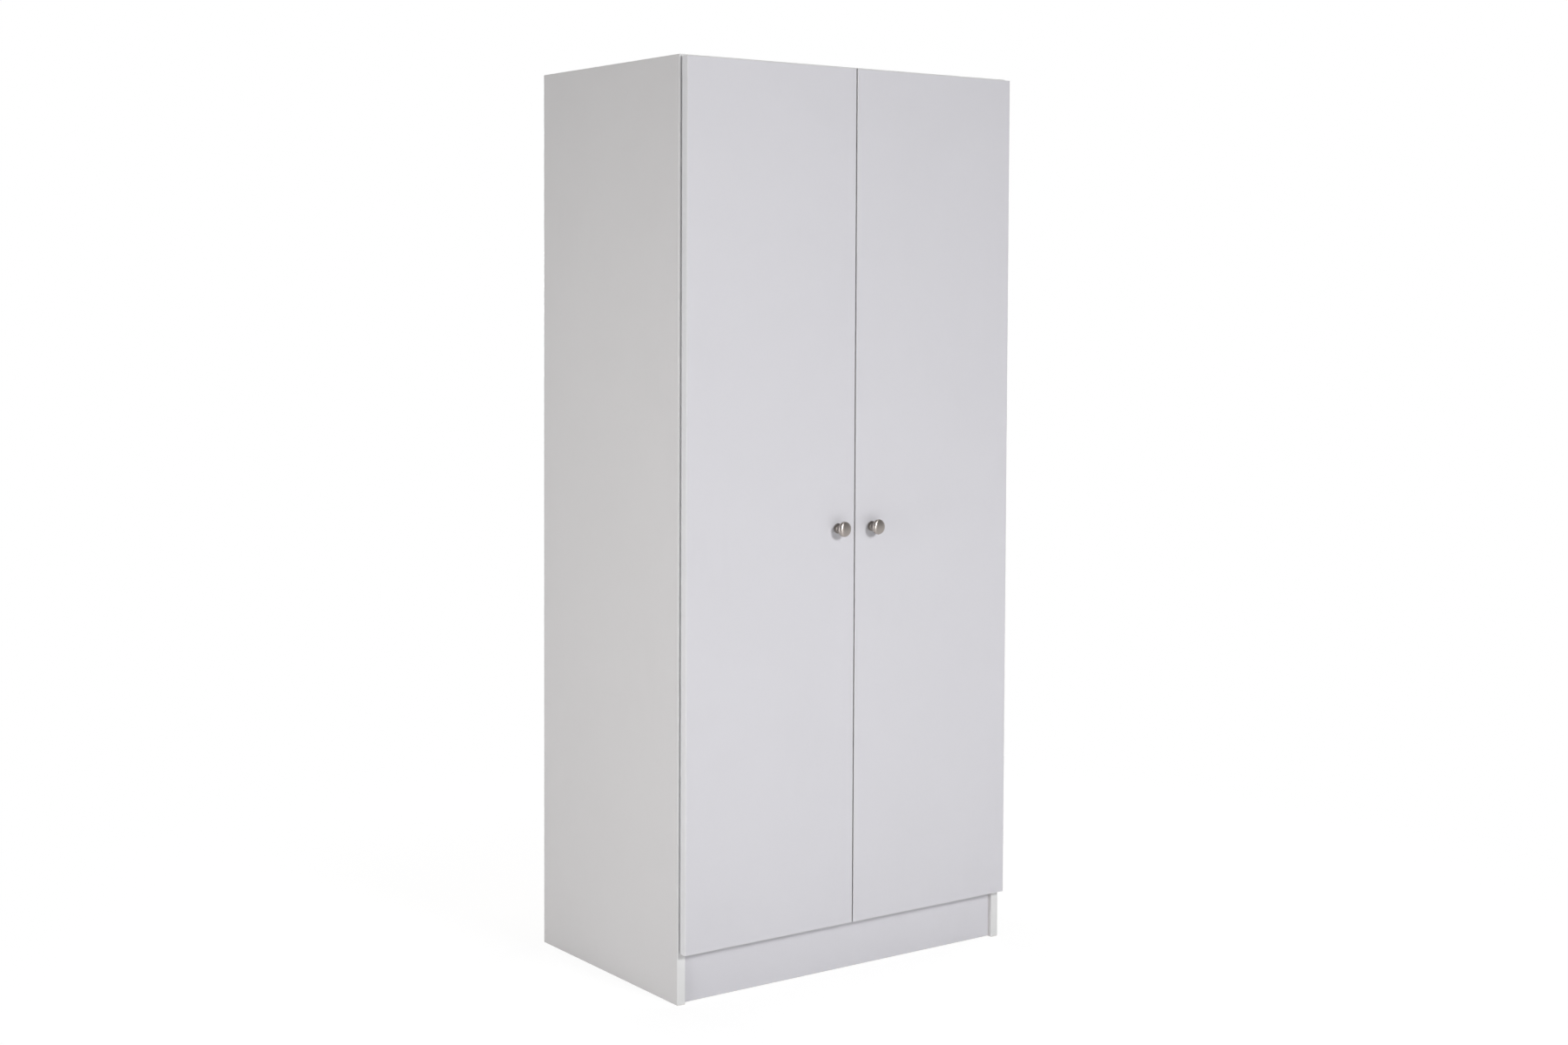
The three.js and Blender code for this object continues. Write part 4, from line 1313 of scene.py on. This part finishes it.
@dataclass
class Door:
    """One door with its knob, knob screw and buffers."""

    hand: Hand
    foot: float = 2.5 * MM
    foot_radius: float = 10 * MM
    neck: float = 5 * MM
    head_rim: float = 3 * MM
    dome: float = 5.5 * MM
    soft: float = 1.2 * MM
    seat_steps: int = 3
    foot_steps: int = 8
    rim_steps: int = 5
    curve_steps: int = 28
    sides: int = 96
    brush_turn: Mapping[Hand, float] = field(default_factory=lambda: {Hand.LEFT: 0.02, Hand.RIGHT: 0.2})
    screw: CrossScrew = CrossScrew(head=4 * MM, height=2.2 * MM, recess=2.1 * MM, shank=2 * MM, dome=0.5)
    screw_turn: float = 0.3
    buffer_steps: int = 10
    buffer_sides: int = 32

    def build(self) -> None:
        """Dresses the door, turns its knob and adds the small pieces on its inner face."""
        panel = f"door_{self.hand.word}"
        knob = f"knob_{self.hand.word}"
        axis = middle_of(knob)
        touched = Vector((axis.x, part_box(panel)[0].y, axis.z))
        dress(panel, FRONT_BOARD.material(panel, NOWHERE, NOWHERE, touched))
        self._knob(knob, axis)
        self._knob_screw(axis)
        self._buffers()

    def _knob(self, node: str, axis: Vector) -> None:
        """Turns a knob with a flat foot, a waisted neck and a domed head.

        Args:
            node: the knob's node.
            axis: a point on its axis.
        """
        low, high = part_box(node)
        width, reach = (high - low).xy
        head = width / 2
        rim_top = reach - self.dome
        rim_foot = rim_top - self.head_rim
        waist = self.neck - self.soft
        soft, edge, seat = self.soft, self.soft / 2, self.soft / 4
        profile = Turning(0.0).line(self.foot_radius - seat, 0.0)
        profile.arc((self.foot_radius - seat, seat), (seat, seat), -90, 0, self.seat_steps)
        profile.arc((self.foot_radius - soft, self.foot - soft), (soft, soft), 0, 90, self.foot_steps)
        profile.curve((waist, self.foot), (waist, rim_foot), (head - soft, rim_foot), self.curve_steps)
        profile.arc((head - edge, rim_foot + edge), (edge, edge), -90, 0, self.rim_steps)
        profile.dome(rim_top, (head, self.dome), self.curve_steps)
        form = profile.spun(reach, self.sides)
        place = facing(FRONT, Vector((axis.x, high.y, axis.z)))
        bmesh.ops.transform(form, matrix=place, verts=form.verts)
        material = BrushedNickel().knob_material(axis, self.hand, self.brush_turn[self.hand])
        Fitting(f"turned_{node}", self.hand.body, "knob_metal", material, [node]).add(form)

    def _knob_screw(self, axis: Vector) -> None:
        """Makes the machine screw that holds the knob, from the door's inner face.

        Args:
            axis: a point on the knob's axis.
        """
        node = f"knob_screw_{self.hand.word}"
        low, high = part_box(node)
        seat = high.y - self.screw.height
        screw = replace(self.screw, length=seat - low.y)
        place = facing(BACK, Vector((axis.x, seat, axis.z)), self.screw_turn)
        form = stamp(bmesh.new(), screw.pattern(), [place])
        steel = Metal(f"knob_screw_steel_{self.hand.word}", tint(186, 187, 190), roughness=0.28)
        Fitting(f"machine_{node}", self.hand.body, "fastener_steel", steel.material(), [node]).add(form)

    def _buffers(self) -> None:
        """Sticks soft dots near the two free corners."""
        nodes = [f"door_buffer_{self.hand.word}_{end}" for end in ("bottom", "top")]
        low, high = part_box(nodes[0])
        radius, height = (high.x - low.x) / 2, high.y - low.y
        dot = Turning(0.0).line(radius, 0.0).dome(0.0, (radius, height), self.buffer_steps)
        pattern = finished(dot.spun(height, self.buffer_sides), "buffer_dot")
        form = bmesh.new()
        for node in nodes:
            middle = middle_of(node)
            stamp(form, pattern, [facing(BACK, Vector((middle.x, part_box(node)[0].y, middle.z)))])
        name = f"buffer_dots_{self.hand.word}"
        soft = Plastic(f"buffer_plastic_{self.hand.word}", tint(226, 228, 228), roughness=0.3, clear=0.55)
        Fitting(name, self.hand.body, "buffer_plastic", soft.material(), nodes).add(form)


@dataclass
class CupHinges:
    """The six concealed hinges: their finish, and the screws in cups, plates and arms."""

    cup_lug: float = 6 * MM
    cup_lug_from_inner: float = 13 * MM
    plate_wing: float = 8 * MM
    plate_screw_line: float = 37 * MM
    plate_sheet: float = 2.3 * MM
    arm_screw_spacing: float = 21 * MM
    cup_screw: CrossScrew = CrossScrew(head=3.7 * MM, height=1.1 * MM, recess=1.9 * MM, dome=0.6)
    plate_screw: CrossScrew = CrossScrew(head=4.4 * MM, height=2.0 * MM, recess=2.2 * MM)
    fixing_screw: CrossScrew = CrossScrew(head=3.9 * MM, height=1.3 * MM, recess=2.1 * MM)
    adjusting_screw: CrossScrew = CrossScrew(head=2.4 * MM, height=0.4 * MM, recess=1.4 * MM)
    cup_screw_turn: float = 3
    plate_screw_turn: float = 5
    arm_screw_turn: float = 7

    def build(self) -> None:
        """Dresses the pressed pieces and puts in all the screws."""
        pressed = {"roughness": 0.22, "stretch": (1, 20, 1), "relief": 0.006 * MM}
        steel = Metal("hinge_steel", tint(196, 196, 194), **pressed).material()
        for hand in Hand:
            for place in HINGE_PLACES:
                for piece in ("hinge_cup", "hinge_pin", "hinge_arm", "hinge_plate"):
                    dress(f"{piece}_{hand.word}_{place}", steel)
            self._cup_screws(hand)
            self._carcase_screws(hand)

    def _cup_screws(self, hand: Hand) -> None:
        """Puts two wood screws through the lugs of each cup.

        Args:
            hand: the door that the cups are in.
        """
        pattern = self.cup_screw.pattern()
        form = bmesh.new()
        for place in HINGE_PLACES:
            low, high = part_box(f"hinge_cup_{hand.word}_{place}")
            x = hand.inner_x((low, high)) - hand.inwards.x * self.cup_lug_from_inner
            for height in (low.z + self.cup_lug, high.z - self.cup_lug):
                at = Vector((x, high.y, height))
                stamp(form, pattern, [facing(BACK, at, self.cup_screw_turn * height)])
        steel = Metal(f"cup_screw_steel_{hand.word}", tint(192, 192, 190), roughness=0.25)
        Fitting(f"cup_screws_{hand.word}", hand.body, "fastener_steel", steel.material()).add(form)

    def _carcase_screws(self, hand: Hand) -> None:
        """Puts in the system screws of each plate, and the two screws of each arm.

        Args:
            hand: the side that the plates are on.
        """
        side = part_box(f"side_panel_{hand.word}")
        line = side[0].y + self.plate_screw_line
        plate_face = hand.inner_x(side) + hand.inwards.x * self.plate_sheet
        plate_pattern = self.plate_screw.pattern()
        arm_patterns = ((self.adjusting_screw.pattern(), -1), (self.fixing_screw.pattern(), 1))
        plates, arms = bmesh.new(), bmesh.new()
        for place in HINGE_PLACES:
            low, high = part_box(f"hinge_plate_{hand.word}_{place}")
            for height in (low.z + self.plate_wing, high.z - self.plate_wing):
                at = Vector((plate_face, line, height))
                stamp(plates, plate_pattern, [facing(hand.inwards, at, self.plate_screw_turn * height)])
            arm = f"hinge_arm_{hand.word}_{place}"
            web = hand.inner_x(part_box(arm))
            level = middle_of(arm).z
            for pattern, along in arm_patterns:
                at = Vector((web, line + along * self.arm_screw_spacing / 2, level))
                stamp(arms, pattern, [facing(hand.inwards, at, self.arm_screw_turn * level)])
        steel = Metal(f"plate_screw_steel_{hand.word}", tint(190, 190, 189), roughness=0.26).material()
        Fitting(f"plate_screws_{hand.word}", "carcase", "fastener_steel", steel).add(plates)
        Fitting(f"arm_screws_{hand.word}", "carcase", "fastener_steel", steel).add(arms)


@dataclass
class ShelfPins:
    """The four collared pins that the hat shelf rests on."""

    def build(self) -> None:
        """Dresses the pins."""
        zinc = Metal("pin_zinc", tint(188, 190, 194), roughness=0.3).material()
        for hand in Hand:
            for end in ("front", "back"):
                dress(f"shelf_pin_{hand.word}_{end}", zinc)


# ---------------------------------------------------------------- studio


@dataclass(frozen=True)
class Softbox:
    """A rectangular lamp that looks at the wardrobe. Azimuth 0 is straight in front, and -90 to its left."""

    name: str
    azimuth: float
    distance: float
    height: float
    width: float
    tall: float
    watts: float
    aim: float = 0.95
    mirrored: bool = True

    def hang(self) -> None:
        """Adds the lamp."""
        lamp = bpy.data.lights.new(self.name, "AREA")
        lamp.shape = "RECTANGLE"
        lamp.size = self.width
        lamp.size_y = self.tall
        lamp.energy = self.watts
        angle = math.radians(self.azimuth)
        place = Vector((math.sin(angle) * self.distance, -math.cos(angle) * self.distance, self.height))
        holder = bpy.data.objects.new(self.name, lamp)
        holder.location = place
        holder.rotation_mode = "QUATERNION"
        holder.rotation_quaternion = (Vector((0, 0, self.aim)) - place).to_track_quat("-Z", "Y")
        holder.visible_camera = False
        holder.visible_glossy = self.mirrored
        bpy.context.scene.collection.objects.link(holder)


@dataclass
class Studio:
    """A white room: the camera, the pale floor, the lamps and the surroundings that metal reflects."""

    lens: float = 50.409
    shift: Pair = (0.01902, -0.08268)
    standpoint: Triple = (-2.6778, -3.6633, 1.3477)
    yaw: float = 35.4553
    pitch: float = -2.5109
    roll: float = 0.2176
    floor_half: float = 40.0
    floor_drop: float = 0.2 * MM
    floor_glow: float = 0.9
    floor_shade: float = 0.15
    floor_fade: Pair = (0.8, 2.0)
    bounce: Colour = tint(230, 230, 230)
    ambient: float = 0.04
    room_front: float = 0.34
    room_fade: Pair = (-0.5, 0.5)
    lamps: tuple[Softbox, ...] = (
        Softbox("key_softbox", 2, 3.6, 2.05, 0.75, 0.8, 71),
        Softbox("low_softbox", 0, 1.55, 0.36, 2.4, 0.7, 3.75, aim=0.5, mirrored=False),
        Softbox("side_softbox", -77, 3.15, 0.8, 1.4, 2.0, 52.5),
        Softbox("rear_softbox", 180, 4.0, 1.6, 1.4, 1.4, 80),
        Softbox("far_side_softbox", 99, 3.2, 1.3, 1.2, 1.6, 34),
        Softbox("top_softbox", 180, 0.12, 4.4, 0.5, 0.5, 26),
    )

    def build(self) -> None:
        """Sets up everything that isn't the wardrobe."""
        self._camera()
        self._floor()
        self._surroundings()
        for lamp in self.lamps:
            lamp.hang()
        bpy.context.scene.view_settings.view_transform = "Standard"

    def _camera(self) -> None:
        """Sets a camera at eye height, to the left in front of the wardrobe."""
        camera = bpy.data.cameras.new("camera")
        camera.lens = self.lens
        camera.shift_x, camera.shift_y = self.shift
        yaw, pitch, roll = (math.radians(angle) for angle in (self.yaw, self.pitch, self.roll))
        forward = Vector((math.sin(yaw) * math.cos(pitch), math.cos(yaw) * math.cos(pitch), math.sin(pitch)))
        level = Vector((math.cos(yaw), -math.sin(yaw), 0))
        upright = level.cross(forward)
        right = level * math.cos(roll) + upright * math.sin(roll)
        up = upright * math.cos(roll) - level * math.sin(roll)
        holder = bpy.data.objects.new("camera", camera)
        axes = Matrix((right, up, -forward)).transposed().to_4x4()
        holder.matrix_world = Matrix.Translation(self.standpoint) @ axes
        bpy.context.scene.collection.objects.link(holder)
        bpy.context.scene.camera = holder

    @staticmethod
    def _rays(wiring: Wiring) -> tuple[Output, Output]:
        """Tells apart the rays that are looked along from the light that is gathered.

        Args:
            wiring: the tree of a material or a world.

        Returns:
            1 for what is seen straight, and 1 for what is mirrored or seen through glass.
        """
        path = wiring.add("ShaderNodeLightPath").outputs
        mirrored = wiring.calc("MAXIMUM", path["Is Glossy Ray"], path["Is Transmission Ray"])
        return path["Is Camera Ray"], mirrored

    def _floor(self) -> None:
        """Lays a wide pale floor that is white to the eye and keeps a soft shadow near the wardrobe."""
        form = bmesh.new()
        bmesh.ops.create_grid(form, x_segments=1, y_segments=1, size=self.floor_half)
        bmesh.ops.translate(form, vec=(0, 0, -self.floor_drop), verts=form.verts)
        floor = bpy.data.objects.new("floor", finished(form, "floor"))
        bpy.context.scene.collection.objects.link(floor)

        material, wiring = new_material("floor_paint")
        far = wiring.rise(wiring.vector("LENGTH", wiring.place()), *self.floor_fade)
        shadowed = wiring.scaled((self.floor_shade,) * 3, wiring.rest(far))
        strength = wiring.shifted(self.floor_glow, far, 1 - self.floor_glow)
        paint = wiring.add("ShaderNodeBsdfDiffuse", {"Color": shadowed}).outputs[0]
        glow = wiring.add("ShaderNodeEmission", {"Strength": strength}).outputs[0]
        white = wiring.add("ShaderNodeAddShader", {0: paint, 1: glow}).outputs[0]
        lit = wiring.add("ShaderNodeBsdfDiffuse", {"Color": self.bounce}).outputs[0]
        seen = wiring.calc("MAXIMUM", *self._rays(wiring))
        both = wiring.add("ShaderNodeMixShader", {0: seen, 1: lit, 2: white}).outputs[0]
        wiring.add("ShaderNodeOutputMaterial", {"Surface": both})
        floor.data.materials.append(material)

    def _surroundings(self) -> None:
        """Puts white behind the wardrobe, and a dimmer room in front of it for metal to reflect."""
        world = bpy.data.worlds.new("studio")
        world.use_nodes = True
        bpy.context.scene.world = world
        wiring = Wiring(world.node_tree)
        straight, mirrored = self._rays(wiring)
        direction = wiring.add("ShaderNodeTexCoord").outputs["Generated"]
        behind = wiring.rise(wiring.parts(direction)[1], *self.room_fade)
        room = wiring.shifted(self.room_front, behind, 1 - self.room_front)
        gathering = wiring.rest(wiring.calc("MAXIMUM", straight, mirrored))
        unseen = wiring.calc("ADD", wiring.times(mirrored, room), wiring.times(gathering, self.ambient))
        strength = wiring.calc("ADD", straight, unseen)
        white = {"Color": (1, 1, 1, 1), "Strength": strength}
        light = wiring.add("ShaderNodeBackground", white).outputs[0]
        wiring.add("ShaderNodeOutputWorld", {"Surface": light})


def main() -> None:
    """Builds the studio and the wardrobe's sub-assemblies, in order."""
    logging.basicConfig(level=logging.INFO, format="%(name)s: %(message)s")
    Studio().build()
    Carcase().build()
    Back().build()
    HangingRail().build()
    ShelfPins().build()
    CupHinges().build()
    for hand in Hand:
        Door(hand).build()


if __name__ == "__main__":
    main()
